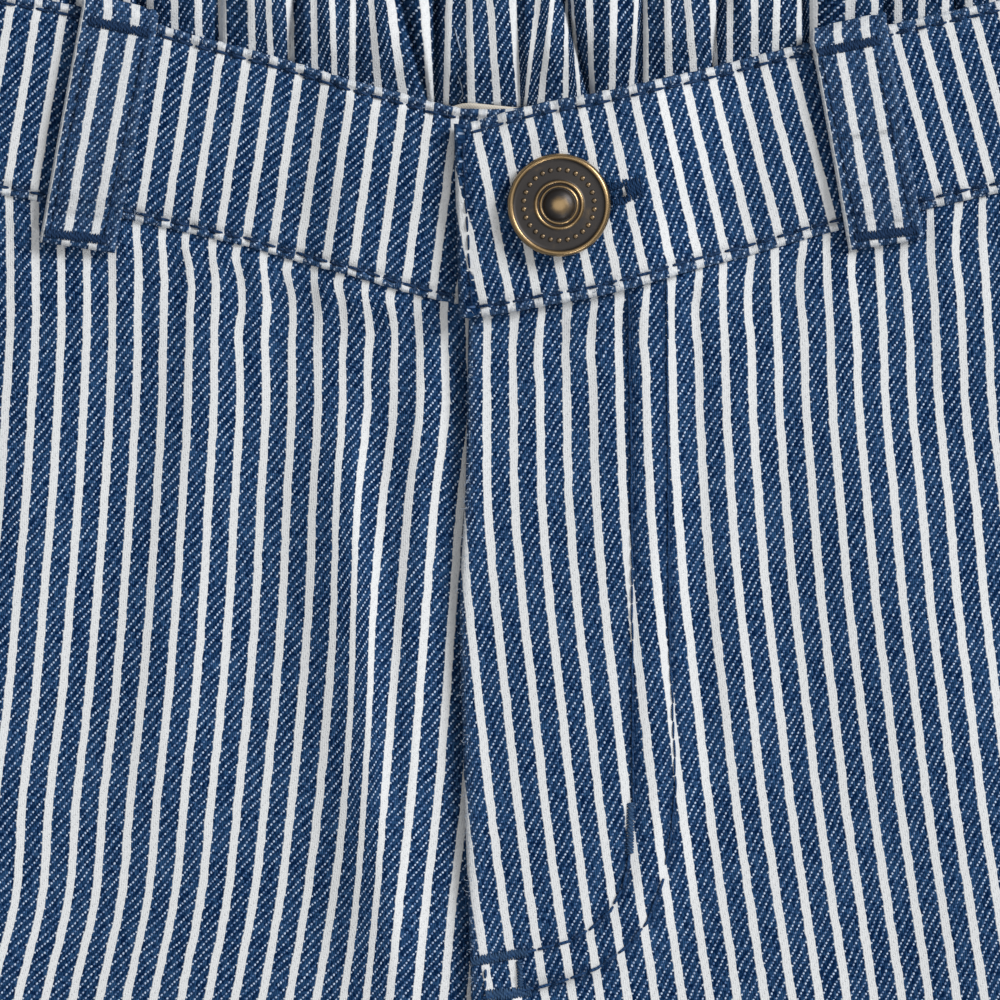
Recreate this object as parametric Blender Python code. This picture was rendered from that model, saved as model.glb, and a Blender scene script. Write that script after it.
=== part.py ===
"""Toddler's striped denim trousers with a button fly and a gathered back waist, laid flat, front up.

Every cut piece is a closed cloth wall. Its lower and upper faces share one plan of points, and their
heights come from the layers under it: the back lies on the surface, the front lies on the back, and the
fly laps over.
"""
import math

import bpy
import numpy as np

# Sizes in millimetres. x runs to the wearer's left, y up to the waist, z up from the surface.
# The plan starts at the centre-front end of the waist seam, and the last step moves it to the box's middle.
MM = 0.001
CLOTH = 1.2  # one layer of denim
BAND = 2.4  # front waistband, folded double
BACK_BAND = 2.0  # back waistband with its elastic
HEM = 2.0  # turned-up leg hem
LABEL = 1.0
LOOP = 1.7
GAP = 0.3  # between pieces that are sewn or lie together
SEAM = 0.15  # half the gap along a sewn edge
HALF_WAIST = 118.0
CROTCH_Y = -155.0
SIDE_HIGHER = 5.0  # the crotch row's rise towards the side seam
EDGE = 0.6  # width of the rounded edge of a piece
PRESSED_GATHER = 1.2  # height of the back gathers where the front lies on them
FREE_GATHER = 3.7  # and where they stand free
SEAM_LIFT = 0.6  # a panel's rise beside the waist seam
ALLOWANCE = 0.7  # ridge over the seam allowances
CROWN = 0.2  # swell of a waistband between its stitch lines
LAP_SPARE = 0.45  # room between the fly overlap and the underlap, over the gap
LAP_PANEL = CLOTH + GAP + LAP_SPARE
LAP_BAND = BAND + CROWN + GAP
BAND_LAP_END = 27.0  # x where the waistband's overlap starts to come down
BAND_LAP_RUN = 15.0  # and the length over which it does
LAP_LOW_SHARE = 0.63  # share of the overlap that the panel beside the seam follows
FLY_LAP_FOOT = -101.5  # y where the fly overlap ends
CREST_RISE = 10.0  # run over which the back gathers rise to their free height
GATHER_SIDE, GATHER_SIDE_RUN, SIDE_LOSS = 94.0, 20.0, 0.85  # where they die out towards the sides
GATHER_FOOT, GATHER_RUN = -45.0, 65.0  # and down the back
GATHER_ROUND = 0.7  # power of a gather's section: lower is rounder
ALLOWANCE_SIDE, ALLOWANCE_INSEAM = 13.0, 12.0  # widths of the seam allowances
ALLOWANCE_EDGE = 3.0  # run of the ridge's slopes
RIM_PINCH = 0.3  # share of the thickness lost at a rounded rim
LABEL_MARGIN = 9.0  # run over which the front rises over the label
SHARP = math.radians(40.0)
BUTTON_X, BUTTON_Y = 13.98, 14.85
BUTTON_LIFT = 0.4
SHANK = 1.25
HOLE_X = (12.2, 24.0)
HOLE_HALF = 1.65
HOLE_V = 0.478  # height of the buttonhole as a share of the waistband's
BAND_HIGH = 28.6  # height of the front waistband at the buttonhole
BACK_BAND_FOOT, BACK_BAND_HIGH = 29.5, 28.4  # of the back waistband at the centre back
BACK_BAND_HALF, BACK_BAND_TAPER = 116.0, 2.0  # half its length, and what its ends lose towards the top
BACK_SEAM_SIDE, BACK_SEAM_MIDDLE = 24.0, 29.0  # y of the back's waist seam at the side and at the centre
GATHERED_SIDE_LOW = -46.4  # y at the side seam where the back's gathered rows end
LOOP_SIDE = 0.15  # slope of a belt loop's foot

# Waist seam of each front: x, y.
SEAM_LEFT = (
    (0.9, -1.46), (5.4, -0.87), (12.7, 0.44), (19.9, 1.75), (27.2, 3.64), (34.5, 5.82), (41.8, 7.72),
    (49.1, 9.9), (57.4, 12.08), (70.0, 15.0), (85.0, 18.3), (100.0, 21.2), (118.0, 24.0),
)
SEAM_RIGHT = (
    (-118.0, 24.0), (-100.0, 22.0), (-80.0, 18.9), (-60.0, 15.2), (-46.6, 12.5), (-38.3, 10.6), (-31.0, 8.9),
    (-23.7, 6.7), (-16.5, 4.8), (-9.2, 2.6), (-3.4, 1.15), (0.0, 0.6), (6.0, 0.7), (12.7, 1.3), (25.0, 3.9),
)
# Top edge of each front waistband: x, y.
TOP_LEFT = (
    (0.3, 26.6), (5.4, 28.1), (9.8, 29.3), (19.9, 31.3), (27.2, 32.9), (34.5, 34.6), (41.8, 36.5),
    (49.1, 38.3), (57.4, 40.2), (70.0, 43.0), (85.0, 46.4), (100.0, 49.6), (114.0, 52.0),
)
TOP_RIGHT = (
    (-114.0, 52.0), (-100.0, 50.4), (-80.0, 47.9), (-60.0, 44.7), (-46.6, 41.9), (-38.3, 39.5),
    (-31.0, 37.6), (-23.7, 35.5), (-16.5, 33.2), (-9.2, 31.3), (-3.4, 29.7), (0.0, 29.0), (5.4, 28.8),
    (9.8, 29.2), (25.0, 31.4),
)
# Lean of the waistband's ends, x of the top less x of the bottom: distance from the centre, lean.
LEAN = ((0.65, 0.7), (10.0, 3.0), (25.0, 6.0), (40.0, 7.2), (60.0, 7.2), (90.0, 5.5), (116.0, 4.0))
# Waist seam and top edge of the back: distance from the centre back, seam y, top y.
BACK_WAIST = (
    (0.0, 29.3, 58.0), (30.0, 29.0, 57.7), (60.0, 28.0, 56.5), (90.0, 26.4, 54.6), (118.0, 24.0, 52.0),
)
# Folded edge of the fly from the waist seam down to the crotch: y, x.
FLY_EDGE = (
    (-155.0, 2.5), (-125.0, 1.8), (-95.0, 1.0), (-64.4, 0.0), (-42.5, -0.44), (-28.0, 0.3), (-3.2, 0.8),
    (0.0, 0.9),
)
# Outer stitch line of the fly, where the layers under it end: y, x.
FLY_LINE = (
    (-100.0, 6.0), (-98.8, 11.8), (-97.7, 15.6), (-96.2, 19.5), (-93.5, 23.4), (-89.5, 26.9), (-83.0, 29.3),
    (-77.0, 30.3), (-69.3, 31.0), (-50.0, 30.3), (0.0, 29.8),
)
# Edge of the underlap: y, x.
UNDERLAP_EDGE = (
    (-155.0, 1.6), (-147.0, 1.6), (-138.0, 5.0), (-122.0, 5.5), (-101.5, 5.5), (-98.0, 6.0), (-94.5, 13.0),
    (-91.0, 18.0), (-85.0, 23.0), (-77.0, 25.0), (0.0, 25.0),
)
# Side seam above the crotch: y, distance from the centre.
SIDE = ((-155.0, 158.0), (-80.0, 150.0), (-20.0, 135.0), (6.0, 124.0), (24.0, 118.0))
# Leg below the crotch, as rows from inseam to side seam: inner x, inner y, outer x, outer y.
LEG_ROWS = (
    (2.5, -155.0, 158.0, -150.0),
    (5.5, -168.0, 159.3, -162.0),
    (10.5, -188.0, 160.7, -180.0),
    (18.0, -225.0, 162.6, -214.0),
    (26.3, -275.0, 164.4, -262.0),
    (34.8, -328.0, 165.8, -312.0),
    (42.4, -380.0, 170.7, -364.0),
    (49.8, -432.0, 175.9, -416.5),
    (55.8, -474.2, 180.6, -459.0),
    (56.0, -475.6, 180.8, -460.4),
    (58.7, -494.5, 182.8, -479.3),
    (58.8, -495.1, 182.9, -479.9),
)
FIRST_HEM_ROW = 9
# Gathers of the back waist, as the creases between them: x, lean against y, depth of the crease.
CREASES = (
    (-125.0, 0.0, 1.0), (-113.0, 0.0, 0.9), (-103.0, 0.1, 1.0), (-92.0, -0.05, 0.9), (-81.0, 0.1, 1.0),
    (-70.0, 0.0, 0.9), (-58.0, 0.1, 1.0), (-46.5, -0.1, 0.9), (-36.0, 0.05, 0.8), (-25.2, 0.1, 0.9),
    (-15.5, 0.0, 0.4), (-5.6, 0.05, 1.0), (6.0, 0.1, 0.35), (17.0, -0.29, 1.0), (27.2, 0.05, 0.9),
    (36.7, 0.1, 0.8), (50.2, -0.05, 0.9), (61.0, 0.1, 0.8), (72.0, 0.0, 1.0), (83.0, -0.1, 0.9),
    (94.0, 0.05, 1.0), (105.0, 0.0, 0.9), (115.0, 0.0, 1.0), (126.0, 0.0, 1.0),
)
CREASE_Y = 37.0  # where the creases' x are given
# Soft folds of the fronts: first x, y, last x, y, half-width on the left and on the right of it, height.
FOLDS = (
    (-17.5, -20.0, -11.5, -92.0, 7.0, 3.0, 1.9),
    (-6.0, -6.0, -8.5, -92.0, 2.6, 2.2, 0.9),
    (16.5, -10.0, 17.5, -24.0, 5.0, 5.0, -0.5),
    (38.0, -4.0, 39.0, -60.0, 4.0, 5.0, 0.7),
    (-38.0, 2.0, -44.0, -70.0, 5.0, 7.0, 0.8),
    (60.0, -30.0, 96.0, -150.0, 14.0, 16.0, 1.3),
    (-62.0, -20.0, -92.0, -140.0, 15.0, 13.0, 1.3),
    (30.0, -172.0, 104.0, -214.0, 12.0, 14.0, 1.6),
    (-26.0, -176.0, -100.0, -226.0, 13.0, 12.0, 1.6),
    (66.0, -318.0, 136.0, -332.0, 13.0, 16.0, 1.5),
    (-70.0, -330.0, -140.0, -318.0, 15.0, 13.0, 1.4),
    (96.0, -384.0, 150.0, -398.0, 11.0, 12.0, 1.0),
    (-92.0, -402.0, -146.0, -388.0, 12.0, 11.0, 1.0),
)
# Label inside the centre back: left x, right x, bottom y, top y.
LABEL_BOX = (-16.0, 25.0, 9.0, 29.9)
# Belt loops: bottom middle x, y and top middle x, each on the wearer's left.
LOOP_HALF = 5.5
LOOPS = (("belt_loop_left", 61.7, 9.2, 57.0), ("belt_loop_right", -57.9, 8.8, -52.2))
# Finish of each piece: colour as linear light, roughness, metallic.
FINISHES = {
    "back_panel_left": ((0.127, 0.181, 0.266), 0.86, 0.0),
    "back_panel_right": ((0.127, 0.181, 0.266), 0.86, 0.0),
    "waistband_back": ((0.124, 0.175, 0.255), 0.86, 0.0),
    "inner_label": ((0.78, 0.74, 0.66), 0.75, 0.0),
    "front_panel_right": ((0.127, 0.181, 0.266), 0.85, 0.0),
    "front_panel_left": ((0.130, 0.184, 0.271), 0.85, 0.0),
    "waistband_front_right": ((0.150, 0.205, 0.292), 0.85, 0.0),
    "waistband_front_left": ((0.136, 0.188, 0.275), 0.85, 0.0),
    "tack_button": ((0.178, 0.130, 0.082), 0.42, 1.0),
    "belt_loop_left": ((0.136, 0.188, 0.275), 0.85, 0.0),
    "belt_loop_right": ((0.136, 0.188, 0.275), 0.85, 0.0),
}
# Tack button from the shank's foot round to the middle of the cap: radius, height over the band.
CAP = (
    (6.2, 0.0), (7.2, 0.35), (7.5, 1.0), (7.4, 1.75), (7.05, 2.15), (6.75, 1.75), (3.5, 1.95), (3.3, 2.35),
    (3.0, 2.3), (2.85, 1.95), (2.45, 2.3), (2.2, 2.2), (1.4, 2.95),
)
CAP_TOP = 3.2
TURNS = 32


def ease(t):
    t = np.clip(t, 0.0, 1.0)
    return t * t * (3.0 - 2.0 * t)


def curve(rows, x, column=1):
    """A smooth curve through a table's points, held level past its ends."""
    xs = np.array([row[0] for row in rows])
    ys = np.array([row[column] for row in rows])
    slopes = np.gradient(ys, xs)
    x = np.clip(np.asarray(x, float), xs[0], xs[-1])
    i = np.clip(np.searchsorted(xs, x) - 1, 0, len(xs) - 2)
    h = xs[i + 1] - xs[i]
    t = (x - xs[i]) / h
    rise = ys[i] * (1 + 2 * t) * (1 - t) ** 2 + ys[i + 1] * t * t * (3 - 2 * t)
    return rise + h * (slopes[i] * t * (1 - t) ** 2 - slopes[i + 1] * t * t * (1 - t))


def front_top(x):
    return np.where(x > 0.3, curve(TOP_LEFT, x), curve(TOP_RIGHT, x))


def back_seam(x):
    return curve(BACK_WAIST, np.abs(x))


def gather_height(x, y):
    """Height of the gathers' crests over the surface."""
    free = ease((y - front_top(x) + 1.0) / CREST_RISE)
    sides = 1.0 - SIDE_LOSS * ease((np.abs(x) - GATHER_SIDE) / GATHER_SIDE_RUN)
    fade = ease((y - GATHER_FOOT) / GATHER_RUN)
    return (PRESSED_GATHER + (FREE_GATHER - PRESSED_GATHER) * free) * sides * fade


def gather_wave(x, y):
    """0 in a crease that touches the surface, 1 on a crest."""
    foot = np.array([row[0] for row in CREASES])
    lean = np.array([row[1] for row in CREASES])
    low = 1.0 - np.array([row[2] for row in CREASES])
    feet = foot[None, :] + lean[None, :] * (np.clip(y, -20.0, 60.0)[:, None] - CREASE_Y)
    i = np.clip((x[:, None] >= feet).sum(axis=1) - 1, 0, len(foot) - 2)
    every = np.arange(len(x))
    t = np.clip((x - feet[every, i]) / (feet[every, i + 1] - feet[every, i]), 0.0, 1.0)
    floor = low[i] + (low[i + 1] - low[i]) * t
    return floor + (1.0 - floor) * np.sin(math.pi * t) ** GATHER_ROUND


def back_low(x, y):
    return gather_height(x, y) * gather_wave(x, y)


def back_thickness(x, y):
    return CLOTH + (BACK_BAND - CLOTH) * ease((y - back_seam(x) + 3.0) / 3.0)


def label_low(x, y):
    return back_thickness(x, y) + gather_height(x, y) + GAP


def clear_of_back(x, y):
    """Height that clears the back, reached well below the thicker waistband."""
    return CLOTH + (BACK_BAND - CLOTH) * ease((y - back_seam(x) + 17.0) / 8.0) + gather_height(x, y) + GAP


def label_rise(x, y):
    left, right, bottom, top = LABEL_BOX
    across = ease((x - left) / LABEL_MARGIN + 1.0) * ease((right - x) / LABEL_MARGIN + 1.0)
    return (LABEL + GAP) * across * ease((y - bottom + 15.0) / LABEL_MARGIN)


def front_low(x, y):
    """Lowest face of a front piece that lies straight on the back."""
    return clear_of_back(x, y) + label_rise(x, y)


def folds(x, y):
    total = np.zeros(len(x))
    for ax, ay, bx, by, wide_left, wide_right, height in FOLDS:
        along = np.array([bx - ax, by - ay])
        length = math.hypot(*along)
        along = along / length
        t = ((x - ax) * along[0] + (y - ay) * along[1]) / length
        off = (x - ax) * along[1] - (y - ay) * along[0]
        off = off * (-1.0 if along[1] < 0 else 1.0)
        wide = np.where(off < 0, wide_left, wide_right)
        ends = ease((t + 0.22) / 0.34) * ease((1.22 - t) / 0.34)
        total += height * ends * np.exp(-((off / wide) ** 2))
    return total


def seam_blend(x, y, seam):
    """1 beside the waist seam, 0 a little below it."""
    return 1.0 - ease((curve(seam, x) - y - 1.5) / 6.0)


def band_lap(x):
    return LAP_BAND * (1.0 - ease((x - BAND_LAP_END) / BAND_LAP_RUN))


def panel_lap(x, y):
    """Rise of the left front over the underlap, inside the fly's outer stitch line."""
    inside = ease((curve(FLY_LINE, y) - x + 3.0) / 3.0) * ease((y - FLY_LAP_FOOT) / 3.0)
    seam = ease((9.5 - x) / 3.0)
    return LAP_PANEL * np.maximum(inside, seam * ease((y - CROTCH_Y - 2.0) / 8.0))


def allowance(out, inner, y):
    """Ridge over the seam allowances, from the distances to the side seam and to the inseam."""
    side = ease((out - 0.4) / 2.6) * ease((ALLOWANCE_SIDE - out) / ALLOWANCE_EDGE)
    inseam = ease((inner - 0.4) / 2.6) * ease((ALLOWANCE_INSEAM - inner) / ALLOWANCE_EDGE)
    inseam = inseam * ease((CROTCH_Y - y) / 12.0)
    return ALLOWANCE * np.maximum(side, inseam)


def rows_to_triangles(rows):
    """Triangles between neighbouring rows of point numbers and of places from 0 to 1 along the row."""
    found = []
    for (upper, at_upper), (lower, at_lower) in zip(rows, rows[1:]):
        i = j = 0
        while i < len(upper) - 1 or j < len(lower) - 1:
            same = len(upper) == len(lower)
            if same:
                first = i <= j
            elif i == len(upper) - 1:
                first = False
            elif j == len(lower) - 1:
                first = True
            else:
                first = at_upper[i + 1] <= at_lower[j + 1]
            if first:
                found.append((upper[i], lower[j], upper[i + 1]))
                i += 1
            else:
                found.append((upper[i], lower[j], lower[j + 1]))
                j += 1
    return found


def finish_of(name):
    colour, roughness, metallic = FINISHES[name]
    material = bpy.data.materials.new(name + "_finish")
    material.use_nodes = True
    shader = material.node_tree.nodes["Principled BSDF"]
    shader.inputs["Base Color"].default_value = colour + (1.0,)
    shader.inputs["Roughness"].default_value = roughness
    shader.inputs["Metallic"].default_value = metallic
    return material


def object_from(name, points, faces):
    """An object in millimetres whose mesh is centred on its own location."""
    points = np.asarray(points, float)
    centre = (points.min(axis=0) + points.max(axis=0)) / 2
    mesh = bpy.data.meshes.new(name)
    mesh.from_pydata([tuple(p) for p in points - centre], [], faces)
    mesh.validate()
    mesh.shade_smooth()
    mesh.set_sharp_from_angle(angle=SHARP)
    mesh.materials.append(finish_of(name))
    item = bpy.data.objects.new(name, mesh)
    item.location = tuple(centre)
    bpy.context.scene.collection.objects.link(item)
    return item


def wall(name, rows, hole=None):
    """A closed cloth wall from rows of points (x, y, z of the lower face, thickness), with rounded edges.

    hole leaves out a block of cells: first row, last row, first column, last column."""
    numbered = []
    count = 0
    for row in rows:
        row = np.asarray(row, float)
        steps = np.hypot(*np.diff(row[:, :2], axis=0).T)
        at = np.concatenate([[0.0], np.cumsum(steps)]) / steps.sum()
        numbered.append((np.arange(count, count + len(row)), at))
        count += len(row)
    points = np.concatenate([np.asarray(row, float) for row in rows])
    triangles = rows_to_triangles(numbered)
    if hole:
        r0, r1, c0, c1 = hole
        width = len(rows[0])

        def outside(corners):
            r = [k // width for k in corners]
            c = [k % width for k in corners]
            return min(r) < r0 or max(r) > r1 or min(c) < c0 or max(c) > c1

        triangles = [t for t in triangles if outside(t)]
    used = sorted({k for t in triangles for k in t})
    renumber = {k: n for n, k in enumerate(used)}
    points = points[used]
    triangles = [tuple(int(renumber[k]) for k in t) for t in triangles]
    directed = {(t[k], t[(k + 1) % 3]) for t in triangles for k in range(3)}
    border = sorted(edge for edge in directed if (edge[1], edge[0]) not in directed)
    rim = np.zeros(len(points), bool)
    rim[[k for edge in border for k in edge]] = True
    pinch = np.where(rim, RIM_PINCH * points[:, 3], 0.0)
    low = points[:, :3].copy()
    high = points[:, :3].copy()
    low[:, 2] += pinch
    high[:, 2] += points[:, 3] - pinch
    n = len(points)
    faces = list(triangles)
    faces += [(a + n, c + n, b + n) for a, b, c in triangles]
    for a, b in border:
        faces += [(a, a + n, b + n), (a, b + n, b)]
    area = sum((high[b][0] - high[a][0]) * (high[c][1] - high[a][1])
               - (high[c][0] - high[a][0]) * (high[b][1] - high[a][1]) for a, b, c in triangles[:40])
    if area < 0:
        faces = [(a, c, b) for a, b, c in faces]
    return object_from(name, np.concatenate([high, low]), faces)


def row_of(x, y, low, thick):
    return np.stack([x, y, low, np.broadcast_to(thick, x.shape)], axis=1)


# Columns of a front panel by distance from its inner edge or from the centre front, and from the side seam.
NEAR = (0.0, 0.6, 3.0, 7.0, 11.0, 15.0, 19.5, 24.0, 27.0, 30.5, 34.0, 38.0, 43.0, 51.0, 61.0)
NEAR_RIGHT = (0.0, 3.0, 5.5, 8.0, 11.0, 14.0, 17.0, 20.5, 25.0, 31.0, 37.0, 44.0, 52.0, 61.0)
MIDDLE = (0.34, 0.67)
OUTER = (13.0, 10.0, 3.0, 0.6, 0.0)
LEG_NEAR = (0.0, 0.6, 3.0, 9.0, 12.0)
LEG_MIDDLE = (0.17, 0.34, 0.5, 0.66, 0.83)
BACK_NEAR = (0.0, 0.6, 12.0)
BACK_OUTER = (12.0, 0.6, 0.0)
BACK_MIDDLE = (0.34, 0.67)
# Rows of a front panel above the crotch, by y at the centre front.
RISE_ROWS = (
    0.0, -0.6, -3.0, -7.0, -13.0, -20.0, -28.0, -37.0, -47.0, -57.0, -67.0, -77.0, -85.0, -91.0, -94.5,
    -98.0, -101.5, -109.0, -122.0, -138.0, -147.0, -155.0,
)


def row_across(inner, outer, near, middle, out_steps):
    """Places along a row: steps from its inner end, shares of the middle, steps from its outer end."""
    length = math.hypot(outer[0] - inner[0], outer[1] - inner[1])
    last = near[-1]
    rest = length - out_steps[0] - last
    steps = list(near) + [last + rest * share for share in middle] + [length - s for s in out_steps]
    share = np.array(steps) / length
    x = inner[0] + (outer[0] - inner[0]) * share
    y = inner[1] + (outer[1] - inner[1]) * share
    return x, y, np.array(steps), length - np.array(steps)


def rise_row(seam, side, inner_x, y0, near, middle, out_steps):
    """One row of a panel above the crotch: along the waist seam at the top, straight at the crotch."""
    down = (0.0 - y0) / (0.0 - CROTCH_Y)
    seam_y = curve(seam, side * HALF_WAIST)
    outer_y = seam_y - SEAM + (CROTCH_Y + SIDE_HIGHER - seam_y) * down
    outer_x = side * curve(SIDE, outer_y)
    top_in = curve(seam, inner_x) - SEAM
    inner = (inner_x, top_in + (CROTCH_Y - top_in) * down)
    x, y, steps, out = row_across(inner, (outer_x, outer_y), near, middle, out_steps)
    chord_x = np.clip(x * HALF_WAIST / abs(outer_x), -HALF_WAIST, HALF_WAIST) if down else x
    share = (x - inner[0]) / (outer_x - inner[0])
    chord = top_in + (seam_y - SEAM - top_in) * share
    sag = curve(seam, chord_x) - SEAM - chord
    return x, y + sag * (1.0 - down) ** 2, steps, out


def leg_rows(side, low_of, near, middle, out_steps):
    """Rows below the crotch. low_of gives the lower face and the thickness from x, y, hem and distances."""
    rows = []
    for n, (ix, iy, ox, oy) in enumerate(LEG_ROWS[1:], 1):
        hem = n >= FIRST_HEM_ROW
        inner = (side * ix, iy)
        x, y, steps, out = row_across(inner, (side * ox, oy), near, middle, out_steps)
        low, thick = low_of(x, y, hem, out, steps)
        rows.append(row_of(x, y, low, thick))
    return rows


def front_leg(x, y, hem, out, inner):
    low = front_low(x, y) + folds(x, y) + allowance(out, inner, y)
    if hem:
        low = low - allowance(out, inner, y) + HEM - CLOTH
    return low, HEM if hem else CLOTH


def back_leg(x, y, hem, out, inner):
    return np.zeros(len(x)), HEM if hem else CLOTH


def front_panel_left():
    rows = []
    for y0 in RISE_ROWS:
        inner_x = float(curve(FLY_EDGE, y0 - 1.6))
        x, y, steps, out = rise_row(SEAM_LEFT, 1.0, inner_x, y0, NEAR, MIDDLE, OUTER)
        beside = seam_blend(x, y, SEAM_LEFT)
        lap = panel_lap(x, y) * (1.0 - beside) + (SEAM_LIFT + LAP_LOW_SHARE * band_lap(x)) * beside
        soft = folds(x, y) * (1.0 - beside) + allowance(out, steps + 50.0, y)
        rows.append(row_of(x, y, front_low(x, y) + lap + soft, CLOTH))
    return wall("front_panel_left", rows + leg_rows(1.0, front_leg, LEG_NEAR, LEG_MIDDLE, OUTER))


def front_panel_right():
    rows = []
    for y0 in RISE_ROWS:
        inner_x = float(curve(UNDERLAP_EDGE, y0))
        under = (0.0, 0.6) + tuple(inner_x * share for share in (0.4, 0.75))
        near = under + tuple(inner_x + s for s in NEAR_RIGHT)
        x, y, steps, out = rise_row(SEAM_RIGHT, -1.0, inner_x, y0, near, MIDDLE, OUTER)
        beside = seam_blend(x, y, SEAM_RIGHT)
        clear = ease((0.5 - x) / 4.0)
        soft = folds(x, y) * (1.0 - beside) * clear + allowance(out, steps + 50.0, y)
        rows.append(row_of(x, y, front_low(x, y) + SEAM_LIFT * beside + soft, CLOTH))
    return wall("front_panel_right", rows + leg_rows(-1.0, front_leg, LEG_NEAR, LEG_MIDDLE, OUTER))


def gather_columns(y, side, inner, outer, shares):
    """x of the columns that follow the gathers, between an inner and an outer end."""
    feet = np.array([row[0] + row[1] * (min(max(y, -20.0), 60.0) - CREASE_Y) for row in CREASES])
    places = [a + (b - a) * share for a, b in zip(feet, feet[1:]) for share in shares]
    places = [p for p in places if inner + 1.5 < p < outer - 1.5]
    places = [inner, inner + EDGE] + places + [outer - EDGE, outer]
    return np.array(places if side > 0 else places[::-1])


BACK_GATHER_ROWS = (0.0, -0.6, -8.0, -26.0, -48.0, -76.0)  # y below the back waist seam
BACK_WAVE = (0.0, 0.3, 0.7)
BACK_ROWS = (-95.0, -115.0, -135.0, -155.0)


def back_panel(name, side):
    rows = []
    for drop in BACK_GATHER_ROWS:
        outer_y = BACK_SEAM_SIDE - SEAM + drop * 0.9
        outer_x = float(curve(SIDE, outer_y))
        middle_y = BACK_SEAM_MIDDLE + drop
        if side > 0:
            x = gather_columns(middle_y, 1.0, SEAM, outer_x, BACK_WAVE)
        else:
            x = gather_columns(middle_y, -1.0, -outer_x, -SEAM, BACK_WAVE)
        y = back_seam(x) - SEAM + drop * (1.0 - 0.1 * (x / outer_x) ** 2)
        rows.append(row_of(x, y, back_low(x, y), CLOTH))
    for y0 in BACK_ROWS:
        down = (-49.0 - y0) / 106.0
        outer_y = GATHERED_SIDE_LOW + (CROTCH_Y + SIDE_HIGHER - GATHERED_SIDE_LOW) * down
        inner = (side * (SEAM + (2.35 * down if y0 < -150 else 0.0)), y0)
        outer = (side * float(curve(SIDE, outer_y)), outer_y)
        x, y, steps, out = row_across(inner, outer, BACK_NEAR, BACK_MIDDLE, BACK_OUTER)
        rows.append(row_of(x, y, np.zeros(len(x)), CLOTH))
    return wall(name, rows + leg_rows(side, back_leg, BACK_NEAR, BACK_MIDDLE, BACK_OUTER))


def band_point(x, v, side):
    """Plan of a front waistband: x at its middle height, v from 0 at the seam to 1 at the top edge."""
    seam, top = (SEAM_LEFT, TOP_LEFT) if side > 0 else (SEAM_RIGHT, TOP_RIGHT)
    far = np.maximum(side * x, 0.0)
    lean = -side * curve(LEAN, far) * ease((side * x + 26.0) / 26.0)
    bottom = curve(seam, x - lean / 2) + SEAM
    return x + lean * (v - 0.5), bottom + (curve(top, x + lean / 2) - bottom) * v


# Section of a front waistband up its height: share of the height, change of the upper face.
BAND_SECTION = (
    (1.0, 0.0), (0.978, 0.0), (0.946, -0.22), (0.85, 0.0), (0.5, CROWN), (0.15, 0.0), (0.054, -0.22),
    (0.022, 0.0), (0.0, 0.0),
)
BAND_X = (
    -0.95, -0.3, 5.0, 9.0, 12.2, 18.0, 24.0, 28.0, 32.0, 36.0, 41.0, 47.0, 53.0, 59.0, 65.0, 74.0, 84.0, 94.0,
    105.0, 115.4, 116.0,
)
BAND_X_RIGHT = (
    25.0, 24.4, 16.0, 8.0, 0.0, -6.0, -12.0, -18.0, -24.0, -30.0, -36.0, -42.0, -48.0, -54.0, -60.0,
    -66.0, -75.0, -84.0, -94.0, -105.0, -115.4, -116.0,
)


def band_low(x, y, side):
    return front_low(x, y) + (band_lap(x) if side > 0 else 0.0)


def band_top(x, y, side):
    return band_low(x, y, side) + BAND


def waistband_front(name, side, columns):
    rows = []
    section = list(BAND_SECTION)
    if side > 0:
        middle = HOLE_HALF / BAND_HIGH
        section[4:5] = [(HOLE_V + middle, CROWN), (HOLE_V - middle, CROWN)]
    for v, change in section:
        x, y = band_point(np.array(columns), v, side)
        rows.append(row_of(x, y, band_low(x, y, side), BAND + change))
    hole = None
    if side > 0:
        hole = (4, 5, columns.index(HOLE_X[0]), columns.index(HOLE_X[1]))
    return wall(name, rows, hole)


def waistband_back():
    rows = []
    for share in (1.0, 0.978, 0.7, 0.4, 0.022, 0.0):
        y_middle = BACK_BAND_FOOT + BACK_BAND_HIGH * share
        end = BACK_BAND_HALF - 2.0 * BACK_BAND_TAPER * (share - 0.5)
        x = gather_columns(y_middle, 1.0, -end, end, (0.0, 0.12, 0.35, 0.65, 0.88))
        bottom = back_seam(x) + SEAM
        top = curve(BACK_WAIST, np.abs(x), 2)
        # Two rows follow the front's top edge, past which the gathers stand free.
        edge = np.clip(front_top(x) - 0.5, bottom + 4.0, top - 7.0)
        if share == 0.4:
            y = edge
        elif share == 0.7:
            y = (edge + top) / 2
        else:
            y = bottom + (top - bottom) * share
        rows.append(row_of(x, y, back_low(x, y), BACK_BAND))
    return wall("waistband_back", rows)


def inner_label():
    left, right, bottom, top = LABEL_BOX
    columns = np.array([left, left + 0.6] + list(np.linspace(left + 5, right - 5, 6)) + [right - 0.6, right])
    rows = []
    for y in (top, top - 0.6, 24.0, 18.0, 13.0, bottom + 0.6, bottom):
        y = np.full(len(columns), y)
        rows.append(row_of(columns, y, label_low(columns, y), LABEL))
    return wall("inner_label", rows)


def surface_under_loop(x, y, side):
    """Upper face of the front under a belt loop: the panel below the seam and the waistband above it."""
    seam = SEAM_LEFT if side > 0 else SEAM_RIGHT
    lap = SEAM_LIFT + (LAP_LOW_SHARE * band_lap(x) if side > 0 else 0.0)
    panel = front_low(x, y) + lap + CLOTH
    return np.where(y > curve(seam, x), band_top(x, y, side), panel)


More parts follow.
